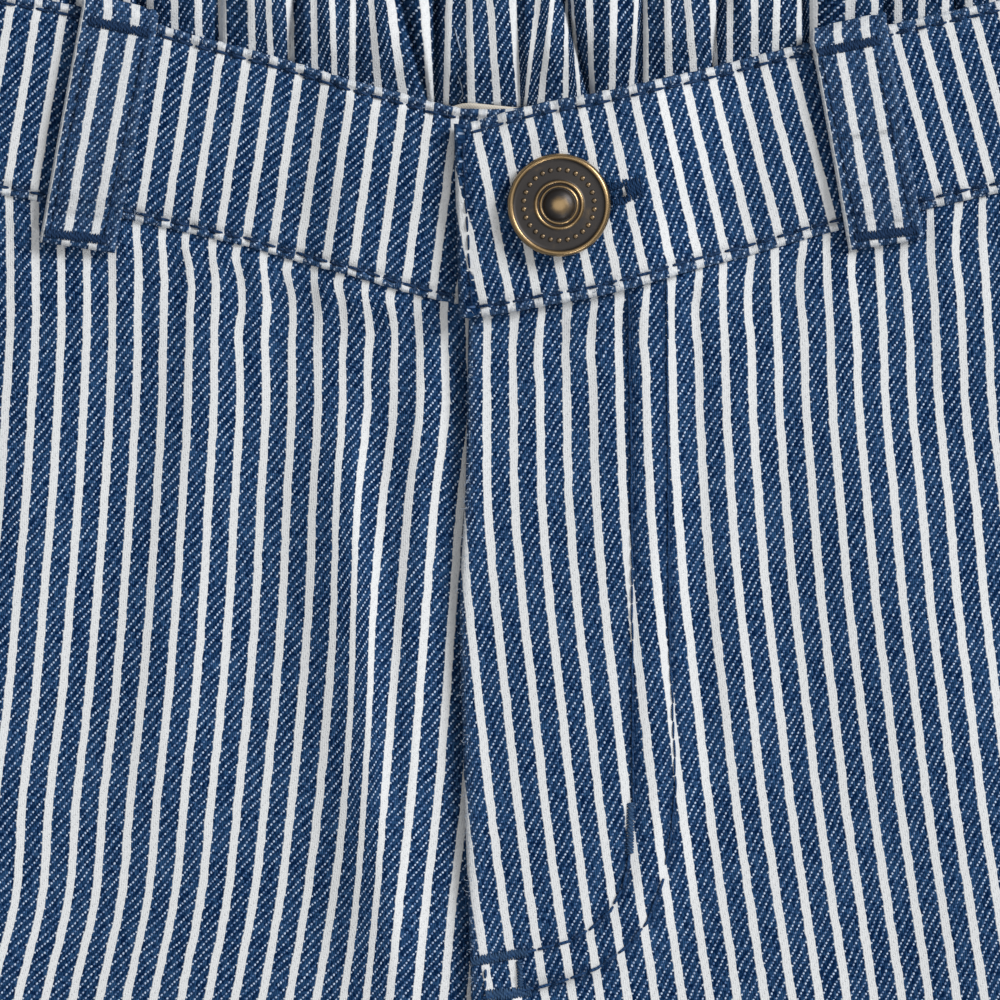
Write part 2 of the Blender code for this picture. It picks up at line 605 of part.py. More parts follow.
def belt_loop(name, foot_x, foot_y, head_x):
    """A folded strip from below the waist seam, up over the waistband and down over its top edge."""
    side = 1.0 if foot_x > 0 else -1.0
    seam, top = (SEAM_LEFT, TOP_LEFT) if side > 0 else (SEAM_RIGHT, TOP_RIGHT)
    upper, lower = [], []
    for off in (-LOOP_HALF, -LOOP_HALF + 0.7, 0.0, LOOP_HALF - 0.7, LOOP_HALF):
        rim = 0.25 * LOOP if abs(off) == LOOP_HALF else 0.0
        tilt = side * LOOP_SIDE * off
        head = float(curve(top, head_x + off))
        foot = foot_y + tilt
        seam_y = float(curve(seam, foot_x + off))
        stations = (
            (foot, 0.3), (foot + 0.7, 0.3), (seam_y - 0.9, 0.35), (seam_y + 1.2, 0.35), (seam_y + 5.0, 0.7),
            (foot + 16.0, 1.0), (head - 6.0, 0.7), (head - 2.0, 0.4), (head + 0.1, 0.35),
        )
        inner, outer = [], []
        for n, (y, clear) in enumerate(stations):
            x = foot_x + off + (head_x - foot_x) * (y - foot) / (head - foot)
            z = float(surface_under_loop(np.array([x]), np.array([y]), side)[0])
            if y < seam_y:
                z = max(z, float(band_top(np.array([x]), np.array([seam_y]), side)[0]) - 0.9)
            end = 0.25 * LOOP if n == 0 else 0.0
            inner.append((x, y, z + clear + rim + end))
            outer.append((x, y, z + clear + LOOP - rim - end))
        x, y, z = inner[-1]
        z -= rim
        fall = z - clear - BAND + 0.8
        inner.append((x, head + 0.35 + rim, z - 0.5))
        outer.append((x, head + 0.35 + 0.75 * LOOP - rim, z + 0.72 * LOOP - rim))
        inner.append((x, head + 0.35 + rim, fall))
        outer.append((x, head + 0.35 + LOOP - rim, fall))
        upper.append(outer)
        lower.append(inner)
    high = np.array(upper).reshape(-1, 3)
    low = np.array(lower).reshape(-1, 3)
    width = len(upper[0])
    n = len(high)
    faces = []
    last = len(upper) - 1
    for c in range(last):
        for r in range(width - 1):
            a, b = c * width + r, (c + 1) * width + r
            faces += [(a, b, b + 1, a + 1), (a + n, a + 1 + n, b + 1 + n, b + n)]
        a, b = c * width, (c + 1) * width
        faces += [(a, a + n, b + n, b)]
        a, b = a + width - 1, b + width - 1
        faces += [(a, b, b + n, a + n)]
    for r in range(width - 1):
        a, b = r, last * width + r
        faces += [(a, a + 1, a + 1 + n, a + n), (b, b + n, b + 1 + n, b + 1)]
    return object_from(name, np.concatenate([high, low]), faces)


def tack_button():
    """A turned cap with a raised rim, two rings and a dome, on a shank that stands in the buttonhole."""
    at = np.array([BUTTON_X]), np.array([BUTTON_Y])
    lower_end = float(front_low(*at)[0]) + BAND + CROWN + GAP
    seat = float(band_top(*at, 1.0)[0]) + CROWN + BUTTON_LIFT
    profile = [(SHANK, lower_end), (SHANK, seat)] + [(r, seat + h) for r, h in CAP]
    points = []
    for r, z in profile:
        for k in range(TURNS):
            angle = 2 * math.pi * k / TURNS
            points.append((BUTTON_X + r * math.cos(angle), BUTTON_Y + r * math.sin(angle), z))
    foot, crown = len(points), len(points) + 1
    points += [(BUTTON_X, BUTTON_Y, lower_end), (BUTTON_X, BUTTON_Y, seat + CAP_TOP)]
    faces = []
    for n in range(len(profile) - 1):
        for k in range(TURNS):
            a, b = n * TURNS + k, n * TURNS + (k + 1) % TURNS
            faces.append((a, b, b + TURNS, a + TURNS))
    end = (len(profile) - 1) * TURNS
    for k in range(TURNS):
        faces.append((foot, (k + 1) % TURNS, k))
        faces.append((crown, end + k, end + (k + 1) % TURNS))
    return object_from("tack_button", points, faces)


def mesh_points(item):
    points = np.empty(3 * len(item.data.vertices))
    item.data.vertices.foreach_get("co", points)
    return points.reshape(-1, 3)


def main():
    for item in list(bpy.data.objects):
        bpy.data.objects.remove(item)
    pieces = [
        back_panel("back_panel_left", 1.0),
        back_panel("back_panel_right", -1.0),
        waistband_back(),
        inner_label(),
        front_panel_right(),
        front_panel_left(),
        waistband_front("waistband_front_right", -1.0, BAND_X_RIGHT),
        waistband_front("waistband_front_left", 1.0, BAND_X),
        tack_button(),
    ]
    pieces += [belt_loop(*row) for row in LOOPS]
    corners = np.concatenate([mesh_points(item) + np.array(item.location) for item in pieces])
    middle = (corners.min(axis=0) + corners.max(axis=0)) / 2
    print("plan's middle, mm:", middle.round(3), "bottom", corners[:, 2].min().round(4))
    garment = bpy.data.objects.new("trousers", None)
    bpy.context.scene.collection.objects.link(garment)
    for item in pieces:
        points = mesh_points(item) * MM
        item.data.vertices.foreach_set("co", points.ravel())
        item.data.update()
        item.location = (
            (item.location[0] - middle[0]) * MM,
            (item.location[1] - middle[1]) * MM,
            item.location[2] * MM,
        )
        item.parent = garment


main()
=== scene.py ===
"""Toddler's striped denim trousers with a button fly and a gathered back waist, laid flat with the front up."""
import math

import bmesh
import bpy
import numpy as np
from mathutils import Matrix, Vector
from mathutils.bvhtree import BVHTree


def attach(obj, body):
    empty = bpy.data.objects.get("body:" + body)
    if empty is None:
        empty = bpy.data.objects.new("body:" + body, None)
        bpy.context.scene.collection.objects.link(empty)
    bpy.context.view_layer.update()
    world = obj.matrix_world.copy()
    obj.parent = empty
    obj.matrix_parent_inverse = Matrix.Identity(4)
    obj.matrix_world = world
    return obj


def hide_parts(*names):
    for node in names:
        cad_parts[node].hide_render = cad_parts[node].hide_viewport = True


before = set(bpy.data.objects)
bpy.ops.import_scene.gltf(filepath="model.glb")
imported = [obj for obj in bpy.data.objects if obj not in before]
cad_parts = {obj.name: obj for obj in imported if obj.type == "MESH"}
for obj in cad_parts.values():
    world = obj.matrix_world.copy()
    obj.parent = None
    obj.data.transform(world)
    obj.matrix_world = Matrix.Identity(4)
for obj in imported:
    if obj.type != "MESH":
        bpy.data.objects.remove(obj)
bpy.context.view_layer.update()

rng = np.random.default_rng(7)

# Sizes in millimetres, in the cutting plan: x to the wearer's left, y up to the waist, z up from the surface.
MM = 0.001
PLAN_Y = 218.551  # from the plan's y to the frame's
CLOTH = 1.2
BAND = 2.4
BACK_BAND = 2.0
HEM = 2.0
LABEL = 1.0
LOOP = 1.7
GAP = 0.3
SEAM = 0.01  # half the gap along a sewn edge
HALF_WAIST = 118.0
BAND_END = 116.0  # x of the waistbands' side ends
BAND_HIGH = 28.6
BACK_HIGH = 28.4
CROTCH_Y = -155.0
STRETCH_END = 94.0  # x to which the back waist is gathered
PRESSED_GATHER = 1.2  # height of the gathers under the front, then above it
FREE_GATHER = 3.7
SEAM_LIFT = 0.4  # of a panel's edge over the waistband's seam
ALLOWANCE = 0.7  # rise of a seam allowance under the cloth
CROWN = 0.2  # rise of a waistband's middle over its edges
LAP_PANEL = CLOTH + GAP + 0.45
LAP_BAND = BAND + CROWN + GAP
BUTTON_X, BUTTON_Y = 13.98, 14.85
BUTTON_LIFT = 0.4
SHANK = 1.25  # radius
HOLE_X = (12.2, 24.0)
HOLE_HALF = 1.65
HOLE_V = 0.478  # share of the waistband's height
HOLE_OPEN = 20.6  # x, under the cap, to which the buttonhole stands open
LAP_END = -0.95  # x of the upper waistband's end
PITCH = 3.96  # of the cloth's stripes
STITCH = 2.65
HEM_STITCH = 17.0  # height of the hem's stitching over the leg's end
LEG_LONG = 340.0

# Outlines: x, y for the waistband's seam and upper edge, y, x for the edges that run down.
SEAM_LEFT = (
    (0.9, -1.46), (5.4, -0.87), (12.7, 0.44), (19.9, 1.75), (27.2, 3.64), (34.5, 5.82), (41.8, 7.72),
    (49.1, 9.9), (57.4, 12.08), (70, 15), (85, 18.3), (100, 21.2), (118, 24),
)
SEAM_RIGHT = (
    (-118, 24), (-100, 22), (-80, 18.9), (-60, 15.2), (-46.6, 12.5), (-38.3, 10.6), (-31, 8.9),
    (-23.7, 6.7), (-16.5, 4.8), (-9.2, 2.6), (-3.4, 1.15), (0, 0.6), (6, 0.7), (12.7, 1.3), (25, 3.9),
)
TOP_LEFT = (
    (0.3, 26.6), (5.4, 28.1), (9.8, 29.3), (19.9, 31.3), (27.2, 32.9), (34.5, 34.6), (41.8, 36.5),
    (49.1, 38.3), (57.4, 40.2), (70, 43), (85, 46.4), (100, 49.6), (114, 52),
)
TOP_RIGHT = (
    (-114, 52), (-100, 50.4), (-80, 47.9), (-60, 44.7), (-46.6, 41.9), (-38.3, 39.5), (-31, 37.6),
    (-23.7, 35.5), (-16.5, 33.2), (-9.2, 31.3), (-3.4, 29.7), (0, 29), (5.4, 28.8), (9.8, 29.2), (25, 31.4),
)
# Sideways lean of the front waistbands: distance from the centre, lean.
LEAN = ((0.65, 0.7), (10, 3), (25, 6), (40, 7.2), (60, 7.2), (90, 5.5), (116, 4))
# Back waist: x, y of its foot, y of its top.
BACK_WAIST = ((0, 29.3, 58), (30, 29, 57.7), (60, 28, 56.5), (90, 26.4, 54.6), (118, 24, 52))
FLY_EDGE = (
    (-155, 2.5), (-125, 1.8), (-95, 1), (-64.4, 0), (-42.5, -0.44), (-28, 0.3), (-3.2, 0.8), (0, 0.9),
)
FLY_LINE = (
    (-100, 6), (-98.8, 11.8), (-97.7, 15.6), (-96.2, 19.5), (-93.5, 23.4), (-89.5, 26.9), (-83, 29.3),
    (-77, 30.3), (-69.3, 31), (-50, 30.3), (0, 29.8),
)
UNDERLAP_EDGE = (
    (-155, 1.6), (-147, 1.6), (-138, 5), (-122, 5.5), (-101.5, 5.5), (-98, 6), (-94.5, 13),
    (-91, 18), (-85, 23), (-77, 25), (0, 25),
)
SIDE = ((-155, 158), (-80, 150), (-20, 135), (6, 124), (24, 118))
LEG_INNER = (
    (-155, 2.5), (-168, 5.5), (-188, 10.5), (-225, 18), (-275, 26.3), (-328, 34.8), (-380, 42.4),
    (-432, 49.8), (-474.2, 55.8), (-495.1, 58.8),
)
LEG_OUTER = (
    (-150, 158), (-162, 159.3), (-180, 160.7), (-214, 162.6), (-262, 164.4), (-312, 165.8),
    (-364, 170.7), (-416.5, 175.9), (-459, 180.6), (-479.9, 182.9),
)
# Creases between the back's gathers: x at CREASE_Y, lean, depth.
CREASES = (
    (-125, 0, 1), (-113, 0, 0.9), (-103, 0.1, 1), (-92, -0.05, 0.9), (-81, 0.1, 1),
    (-70, 0, 0.9), (-58, 0.1, 1), (-46.5, -0.1, 0.9), (-36, 0.05, 0.8), (-25.2, 0.1, 0.9),
    (-15.5, 0, 0.3), (-6.7, -0.26, 0.6), (-4, 0, 1), (8.2, 0, 0.45), (17, -0.27, 1), (25.8, 0.05, 0.6),
    (36.7, 0.1, 0.8), (50.2, -0.05, 0.9), (61, 0.1, 0.8), (72, 0, 1), (83, -0.1, 0.9),
    (94, 0.05, 1), (105, 0, 0.9), (115, 0, 1), (126, 0, 1),
)
CREASE_Y = 37.0
GATHER_ROUND = 0.36  # power of a gather's section: lower is rounder
# Soft folds: both ends, width to each side, height.
FOLDS = (
    (-17.5, -20, -11.5, -92, 7, 3, 1.9),
    (-6, -6, -8.5, -92, 2.6, 2.2, 0.9),
    (16.5, -10, 17.5, -24, 5, 5, -0.5),
    (38, -4, 39, -60, 4, 5, 0.7),
    (-38, 2, -44, -70, 5, 7, 0.8),
    (60, -30, 96, -150, 14, 16, 1.3),
    (-62, -20, -92, -140, 15, 13, 1.3),
    (30, -172, 104, -214, 12, 14, 1.6),
    (-26, -176, -100, -226, 13, 12, 1.6),
    (66, -318, 136, -332, 13, 16, 1.5),
    (-70, -330, -140, -318, 15, 13, 1.4),
    (96, -384, 150, -398, 11, 12, 1),
    (-92, -402, -146, -388, 12, 11, 1),
)
LABEL_BOX = (-16.0, 25.0, 9.0, 29.9)
LOOP_HALF = 5.5
# Belt loops: name, x and y of the foot, x of the head.
LOOPS = (("belt_loop_left", 61.7, 9.2, 56.2), ("belt_loop_right", -56.2, 8.8, -49.9))

# Course of the stripes. Left front: y, x of the first stripe beside the fly and of the eleventh from it.
STRIPES_LEFT = (
    (-500, 58, 101.6), (-155, 19, 63), (-99.3, 11.8, 55.8), (-86.2, 9.8, 53.8), (-71.6, 7.9, 51.7),
    (-57.1, 6.3, 50), (-42.5, 4.7, 48.3), (-28, 3.6, 47.1), (-13.4, 3.5, 46.1), (-5.4, 3.5, 45.9),
    (15, 3, 45),
)
# Right front: y, x of the first stripe, pitch, cloth taken up by the fold beside the fly, x of that fold.
STRIPES_RIGHT = (
    (-500, -58, 3.96, 0, -50), (-155, -19, 3.96, 0.6, -22), (-99.3, -10.6, 3.95, 1.3, -14.3),
    (-86.2, -9.2, 3.86, 1.8, -14.1), (-71.6, -7.6, 3.93, 2.3, -14.8), (-57.1, -6.4, 3.89, 2.3, -15),
    (-42.5, -5.3, 3.87, 2.2, -16.3), (-28, -4.1, 3.8, 1.2, -17.3), (-13.4, -2.5, 3.79, 0.3, -18),
    (-5.4, -2.7, 3.73, 0, -18), (15, -2.7, 3.73, 0, -18),
)
# Gathered back waistband: x of each stripe at the top of the inner face that shows, and at its foot.
BACK_STRIPES = (
    (-45.6, -45.6), (-42.1, -41.8), (-38.6, -38.3), (-35.2, -35.1), (-30.7, -30.6), (-28.4, -27.8),
    (-25.3, -25), (-21.7, -21.5), (-19.1, -18.6), (-16, -16.3), (-13.4, -12.2), (-10.8, -8.7),
    (-5.5, -4.5), (-2, -2.6), (0.9, 1.2), (3.9, 5), (7.2, 8.3), (11.1, 9), (13, 11.2), (15.3, 15.1),
    (15.7, 17), (18.3, 18.8), (22, 21.7), (25.5, 24.5), (26.4, 26.6), (29.8, 30.1), (32.6, 34.1),
    (36.5, 37.1), (38.8, 38.7), (42.5, 42.8), (45.7, 45.4), (49.2, 49.2), (50.8, 50.7), (56.6, 56.5),
)
BACK_STRIPES_Y = (44.8, 30.3)  # height of both
BACK_STRIPE_PITCH = 3.44  # farther out
# Waistbands: x of a stripe at the middle of the height, pitch, then distance from the centre and lean.
BAND_STRIPE_LEFT = (0.60, 3.854)
BAND_STRIPE_RIGHT = (-2.70, 3.841)
BAND_LEAN_LEFT = ((0, -5.4), (20, -5.9), (45, -6.8), (118, -6.8))
BAND_LEAN_RIGHT = ((0, 3.6), (20, 4.1), (45, 4.5), (118, 5.5))
# Distances of the waistband's stitch lines from its lower edge, by side, and from its upper edge.
STITCH_LOW = {1.0: 1.45, -1.0: 1.1}
STITCH_HIGH = 1.45
SEAMS = {1.0: SEAM_LEFT, -1.0: SEAM_RIGHT}
TOPS = {1.0: TOP_LEFT, -1.0: TOP_RIGHT}
SIDE_NAMES = {1.0: "left", -1.0: "right"}


def ease(t):
    t = np.clip(t, 0, 1)
    return t * t * (3 - 2 * t)


def bell(x, wide):
    return np.exp(-((x / wide) ** 2))


def quarter(t):
    """Height of a quarter circle at a share of the way in from its rim."""
    return np.sqrt(1 - (1 - t) ** 2)


def curve(rows, x, column=1):
    """A smooth curve through a table's points, held level past its ends."""
    xs = np.array([row[0] for row in rows])
    ys = np.array([row[column] for row in rows])
    slopes = np.gradient(ys, xs)
    x = np.clip(np.asarray(x, float), xs[0], xs[-1])
    i = np.clip(np.searchsorted(xs, x) - 1, 0, len(xs) - 2)
    h = xs[i + 1] - xs[i]
    t = (x - xs[i]) / h
    rise = ys[i] * (1 + 2 * t) * (1 - t) ** 2 + ys[i + 1] * t * t * (3 - 2 * t)
    return rise + h * (slopes[i] * t * (1 - t) ** 2 - slopes[i + 1] * t * t * (1 - t))


def front_top(x):
    return np.where(x > 0.3, curve(TOP_LEFT, x), curve(TOP_RIGHT, x))


def back_seam(x):
    return curve(BACK_WAIST, np.abs(x))


def gather_height(x, y):
    free = ease((y - front_top(x) + 1) / 10)
    sides = 1 - 0.85 * ease((np.abs(x) - STRETCH_END) / 20)
    fade = ease((y + 45) / 65)
    return (PRESSED_GATHER + (FREE_GATHER - PRESSED_GATHER) * free) * sides * fade


def place_among(x, lines):
    """Number of the line before each x, and the lines on both sides of it."""
    i = np.clip((x[..., None] >= lines).sum(axis=-1) - 1, 0, lines.shape[-1] - 2)
    return i, *(np.take_along_axis(lines, i[..., None] + n, -1)[..., 0] for n in (0, 1))


def crease_lines(y):
    foot, lean, depth = np.array(CREASES).T
    return foot + lean * (np.clip(y, -20, 60)[..., None] - CREASE_Y), depth


def gather_wave(x, y):
    """Height of the gathers between their creases, 0 to 1."""
    feet, depth = crease_lines(y)
    i, a, b = place_among(x, feet)
    t = np.clip((x - a) / (b - a), 0, 1)
    low = 1 - depth
    floor = low[i] + (low[i + 1] - low[i]) * t
    return floor + (1 - floor) * np.sin(math.pi * t) ** GATHER_ROUND


def back_low(x, y):
    return gather_height(x, y) * gather_wave(x, y)


def over_back(x, y, below, reach):
    """Height clear of the back, whose thickness grows to its waistband's from a distance below the seam."""
    return CLOTH + (BACK_BAND - CLOTH) * ease((y - back_seam(x) + below) / reach) + gather_height(x, y) + GAP


def label_rise(x, y):
    left, right, bottom, top = LABEL_BOX
    across = ease((x - left + 9) / 9) * ease((right + 9 - x) / 9)
    return (LABEL + GAP) * across * ease((y - bottom + 15) / 9)


def front_low(x, y):
    return over_back(x, y, 17, 8) + label_rise(x, y)


def folds(x, y):
    """Height of the soft folds."""
    total = np.zeros(np.shape(x))
    for ax, ay, bx, by, wide_left, wide_right, height in FOLDS:
        along = np.array([bx - ax, by - ay])
        length = math.hypot(*along)
        along = along / length
        t = ((x - ax) * along[0] + (y - ay) * along[1]) / length
        off = (x - ax) * along[1] - (y - ay) * along[0]
        off = off * (-1 if along[1] < 0 else 1)
        wide = np.where(off < 0, wide_left, wide_right)
        ends = ease((t + 0.22) / 0.34) * ease((1.22 - t) / 0.34)
        total += height * ends * bell(off, wide)
    return total


def seam_blend(x, y, seam):
    """1 at the waistband's seam, 0 lower on the panel."""
    return 1 - ease((curve(seam, x) - y - 1.5) / 6)


def band_lap(x):
    """How far the upper waistband is raised over the lower one."""
    return LAP_BAND * (1 - ease((x - 27) / 15))


def panel_lap(x, y):
    """How far the left front is raised over the fly's underlap."""
    inside = ease((curve(FLY_LINE, y) - x + 6) / 9) * ease((y + 101.5) / 5)
    seam = ease((9.5 - x) / 3)
    return LAP_PANEL * np.maximum(inside, seam * ease((y - CROTCH_Y - 2) / 8))


def allowance(out, inner, y):
    """Height of the seam allowances under a front, from the distances to its outer and inner edge."""
    side = ease((out - 0.4) / 2.6) * ease((13 - out) / 3)
    inseam = ease((inner - 0.4) / 2.6) * ease((12 - inner) / 3) * ease((CROTCH_Y - y) / 12)
    return ALLOWANCE * np.maximum(side, inseam)


def ripple(x, y):
    """Slow unevenness of cloth that has been worn and pressed by hand, 0 to 1."""
    a = np.sin(x * 0.21 + 1.3 * np.sin(y * 0.047 + 0.6)) * np.sin(y * 0.083 + 0.9 * np.sin(x * 0.061))
    b = np.sin(x * 0.093 - y * 0.121 + 2.1) * np.cos(y * 0.039 + x * 0.017)
    return 0.5 + 0.28 * a + 0.22 * b


def puckers(x, drop, phase):
    """Small ridges across a seam at a distance below it, 0 to 1."""
    wave = np.sin(x * 1.27 + phase + 0.7 * np.sin(x * 0.31)) + 0.6 * np.sin(x * 0.71 + 2 * phase)
    return (0.5 + 0.31 * wave) * np.exp(-np.maximum(drop, 0) / 13)


def rim_distance(x, y, first=0, last=0):
    """Distance of each grid point from the nearest end of its row or column.

    first and last are added to the distances from the first and the last row: those rims are less round."""
    ends = []
    for axis, more, more_back in ((1, 0, 0), (0, first, last)):
        steps = np.hypot(np.diff(x, axis=axis), np.diff(y, axis=axis))
        run = np.concatenate([np.zeros_like(x.take([0], axis)), np.cumsum(steps, axis=axis)], axis=axis)
        ends += [run + more, run.take([-1], axis) - run + more_back]
    return np.minimum.reduce(ends)


def link_mesh(name, points, faces, uv=None, **notes):
    """A linked mesh from plan points. The notes are numbers at its points that the materials read."""
    mesh = bpy.data.meshes.new(name)
    mesh.from_pydata([(p[0] * MM, (p[1] + PLAN_Y) * MM, p[2] * MM) for p in points.tolist()], [], faces)
    item = bpy.data.objects.new(name, mesh)
    bpy.context.scene.collection.objects.link(item)
    if uv is not None:
        layer = mesh.uv_layers.new(name="cloth")
        corner = np.empty(len(mesh.loops), int)
        mesh.loops.foreach_get("vertex_index", corner)
        layer.data.foreach_set("uv", uv[corner].astype(np.float32).ravel())
    for key, values in notes.items():
        mesh.attributes.new(key, "FLOAT", "POINT").data.foreach_set("value", np.asarray(values, np.float32))
    mesh.shade_smooth()
    shape = bmesh.new()
    shape.from_mesh(mesh)
    bmesh.ops.recalc_face_normals(shape, faces=shape.faces)
    shape.to_mesh(mesh)
    shape.free()
    return item


def closed_sheet(name, high, under, k, v, wear, hole=None, flip=False):
    """A closed sheet from the grids of its upper and lower points. hole leaves out a block of cells."""
    rows, cols = high.shape[:2]
    n = rows * cols
    number = np.arange(n).reshape(rows, cols)
    keep = np.ones((rows - 1, cols - 1), bool)
    rims = [(number[0, 1:], number[0, :-1]), (number[-1, :-1], number[-1, 1:]),
            (number[:-1, 0], number[1:, 0]), (number[1:, -1], number[:-1, -1])]
    if hole:
        r0, r1, c0, c1 = hole
        keep[r0:r1, c0:c1] = False
        block = number[r0:r1 + 1, c0:c1 + 1]
        rims += [(block[0, :-1], block[0, 1:]), (block[-1, 1:], block[-1, :-1]),
                 (block[1:, 0], block[:-1, 0]), (block[:-1, -1], block[1:, -1])]
    quads = np.stack([number[:-1, :-1], number[1:, :-1], number[1:, 1:], number[:-1, 1:]], axis=-1)[keep]
    walls = np.concatenate([np.stack([p + n, q + n, q, p], axis=-1) for p, q in rims])
    faces = np.concatenate([quads, quads[:, ::-1] + n, walls])
    if flip:
        faces = faces[:, ::-1]
    used = np.unique(faces)
    renumber = np.zeros(2 * n, int)
    renumber[used] = np.arange(len(used))
    points = np.concatenate([high.reshape(-1, 3), under.reshape(-1, 3)])
    uv = np.tile(np.stack([k, v], -1).reshape(-1, 2), (2, 1))
    wear = np.tile(wear.ravel(), 2)
    return link_mesh(name, points[used], renumber[faces].tolist(), uv[used], wear=wear[used])


def shell(name, x, y, low, thick, k, v, wear, hole=None, flip=False, first=0, last=0):
    """A closed cloth shell on a grid, with rounded rims."""
    d = rim_distance(x, y, first, last)
    if hole:
        r0, r1, c0, c1 = hole
        edge = np.zeros(x.shape, bool)
        edge[r0:r1 + 1, c0:c1 + 1] = True
        edge[r0 + 1:r1, c0 + 1:c1] = False
        d = np.minimum(d, np.hypot(x[..., None] - x[edge], y[..., None] - y[edge]).min(axis=-1))
    f = 0.12 + 0.88 * quarter(np.clip(d / (0.5 * thick), 0, 1))
    middle, half = low + 0.5 * thick, 0.5 * thick * f
    high, under = (np.stack([x, y, z], -1) for z in (middle + half, middle - half))
    return closed_sheet(name, high, under, k, v, wear, hole, flip)


def steps_between(a, b, step):
    count = max(int(math.ceil(abs(b - a) / step)), 1)
    return list(a + (b - a) * np.arange(1, count + 1) / count)


# Grid steps: at a rounded rim, in the fine cloth near the middle, and at a panel's outer edge.
RIM_STEPS = [0, 0.05, 0.16, 0.34, 0.6]
FINE = 0.85
OUT_STEPS = [13, 11.5, 10, 8, 5.5, 3, 1.6, 0.8] + RIM_STEPS[::-1]
MIDDLE_SHARES = [n / 12 for n in range(1, 12)]
RISE_Y = [-s for s in RIM_STEPS] + steps_between(-0.6, -104, FINE) + steps_between(-104, -155, 3.2)
HEM_STEPS = [19.5, 18, 16, 13, 9, 5, 3.2, 2.6, 2, 1.4] + RIM_STEPS[::-1]
LEG_T = [n / 72 for n in range(1, 68)] + [1 - s / LEG_LONG for s in HEM_STEPS]


def row_across(inner, outer, near):
    """A row of grid points between two ends: x, y and the distances from the inner and the outer end."""
    length = math.hypot(outer[0] - inner[0], outer[1] - inner[1])
    rest = length - OUT_STEPS[0] - near[-1]
    steps = list(near) + [near[-1] + rest * share for share in MIDDLE_SHARES] + [length - s for s in OUT_STEPS]
    steps = np.array(steps)
    x, y = (a + (b - a) * steps / length for a, b in zip(inner, outer))
    return x, y, steps, length - steps


def rise_row(side, inner_x, y0, near):
    """A row above the crotch, which follows the waistband's seam less and less on its way down."""
    seam = SEAMS[side]
    down = y0 / CROTCH_Y
    seam_y = curve(seam, side * HALF_WAIST)
    outer_y = seam_y - SEAM + (CROTCH_Y + 5 - seam_y) * down
    outer_x = side * curve(SIDE, outer_y)
    top_in = curve(seam, inner_x) - SEAM
    x, y, steps, out = row_across((inner_x, top_in + (CROTCH_Y - top_in) * down), (outer_x, outer_y), near)
    chord_x = np.clip(x * HALF_WAIST / abs(outer_x), -HALF_WAIST, HALF_WAIST) if down else x
    chord = top_in + (seam_y - SEAM - top_in) * (x - inner_x) / (outer_x - inner_x)
    return x, y + (curve(seam, chord_x) - SEAM - chord) * (1 - down) ** 2, steps, out


def leg_edge(edge, side, y):
    return side * float(curve(edge[::-1], y)), y


def leg_ends(side, t):
    """Inner and outer end of a row below the crotch, t from 0 at the crotch to 1 at the hem."""
    inner_y = CROTCH_Y + (LEG_INNER[-1][0] - CROTCH_Y) * t
    outer_y = LEG_OUTER[0][0] + (LEG_OUTER[-1][0] - LEG_OUTER[0][0]) * t
    return leg_edge(LEG_INNER, side, inner_y), leg_edge(LEG_OUTER, side, outer_y)


def hem_rise(from_end):
    """1 on the turned hem, 0 above it."""
    return ease((20.5 - from_end) / 1.4)


def seam_jog(x, drop, side):
    """Sideways shift of the stripes where the panel is eased into the waistband."""
    if side > 0:
        wave = 0.35 + 0.25 * np.sin(x * 0.8)
        return -ease((x - 2) / 5) * wave * (bell(drop, 2.6) - 0.6 * bell(drop - 7.5, 3.5))
    reach = ease((x + 52) / 14) * ease((-3 - x) / 8)
    sway = 0.4 * bell(drop - 8, 2.9) - 0.16 * bell(drop - 14, 3.5) * np.sin(x * 0.35)
    return reach * (0.8 + 0.35 * np.sin(x * 0.9)) * (0.55 * bell(drop - 1.8, 2) - sway)


def stripes_left(x, y):
    first = curve(STRIPES_LEFT, y)
    last = curve(STRIPES_LEFT, y, 2)
    return 11 * (x - first) / (last - first), y - 0.2 * x


def stripes_right(x, y):
    first, pitch, taken, fold = (curve(STRIPES_RIGHT, y, n) for n in (1, 2, 3, 4))
    return (x - first - taken * ease((fold + 4 - x) / 8)) / pitch, y + 0.1 * x


def line_distance(x, y, points):
    """Distance from each grid point to a line, and how far along the line its foot is."""
    best = np.full(x.shape, 1e9)
    along = np.zeros(x.shape)
    run = 0
    for (ax, ay), (bx, by) in zip(points, points[1:]):
        dx, dy = bx - ax, by - ay
        length = math.hypot(dx, dy)
        t = np.clip(((x - ax) * dx + (y - ay) * dy) / length ** 2, 0, 1)
        d = np.hypot(x - ax - t * dx, y - ay - t * dy)
        closer = d < best
        best = np.where(closer, d, best)
        along = np.where(closer, run + t * length, along)
        run += length
    return best, along


def groove(d, s, depth, wide=0.75, step=STITCH):
    """A stitched channel that is deepest at the needle holes."""
    return depth * bell(d, wide) * (0.62 + 0.38 * np.cos(2 * math.pi * s / step))


# The fly's two rows of stitching: x, y.
FLY_INNER = (
    (24.1, 2), (24.5, -20), (24.7, -49.8), (24.75, -71.6), (24.3, -79.5), (23.4, -84.2), (21.5, -87.9),
    (18.3, -90.6), (15.3, -92.3), (7.9, -94.2), (1.6, -95.3),
)
FLY_OUTER = (
    (29.7, 3.4), (29.9, -20), (30.1, -49.8), (30.7, -60.7), (31, -69.3), (30.3, -77), (29.3, -83),
    (26.9, -89.5), (23.4, -93.5), (19.5, -96.2), (15.6, -97.7), (11.8, -98.8), (6, -100), (1.9, -100.6),
)


def fly_grooves(x, y):
    """Depth of the fly's stitched channels, and how matted the cloth is beside them, which the material also
    darkens as painted shade of the channels.
    """
    cut, matting_and_shade = np.zeros(x.shape), np.zeros(x.shape)
    zone = (x < 40) & (y > -112)
    for line in (FLY_INNER, FLY_OUTER):
        d, s = line_distance(x[zone], y[zone], line)
        cut[zone] += groove(d, s, 0.27, 0.85) + 0.16 * bell(d, 1.9)
        matting_and_shade[zone] = np.maximum(matting_and_shade[zone], bell(d, 0.85))
    return cut, matting_and_shade


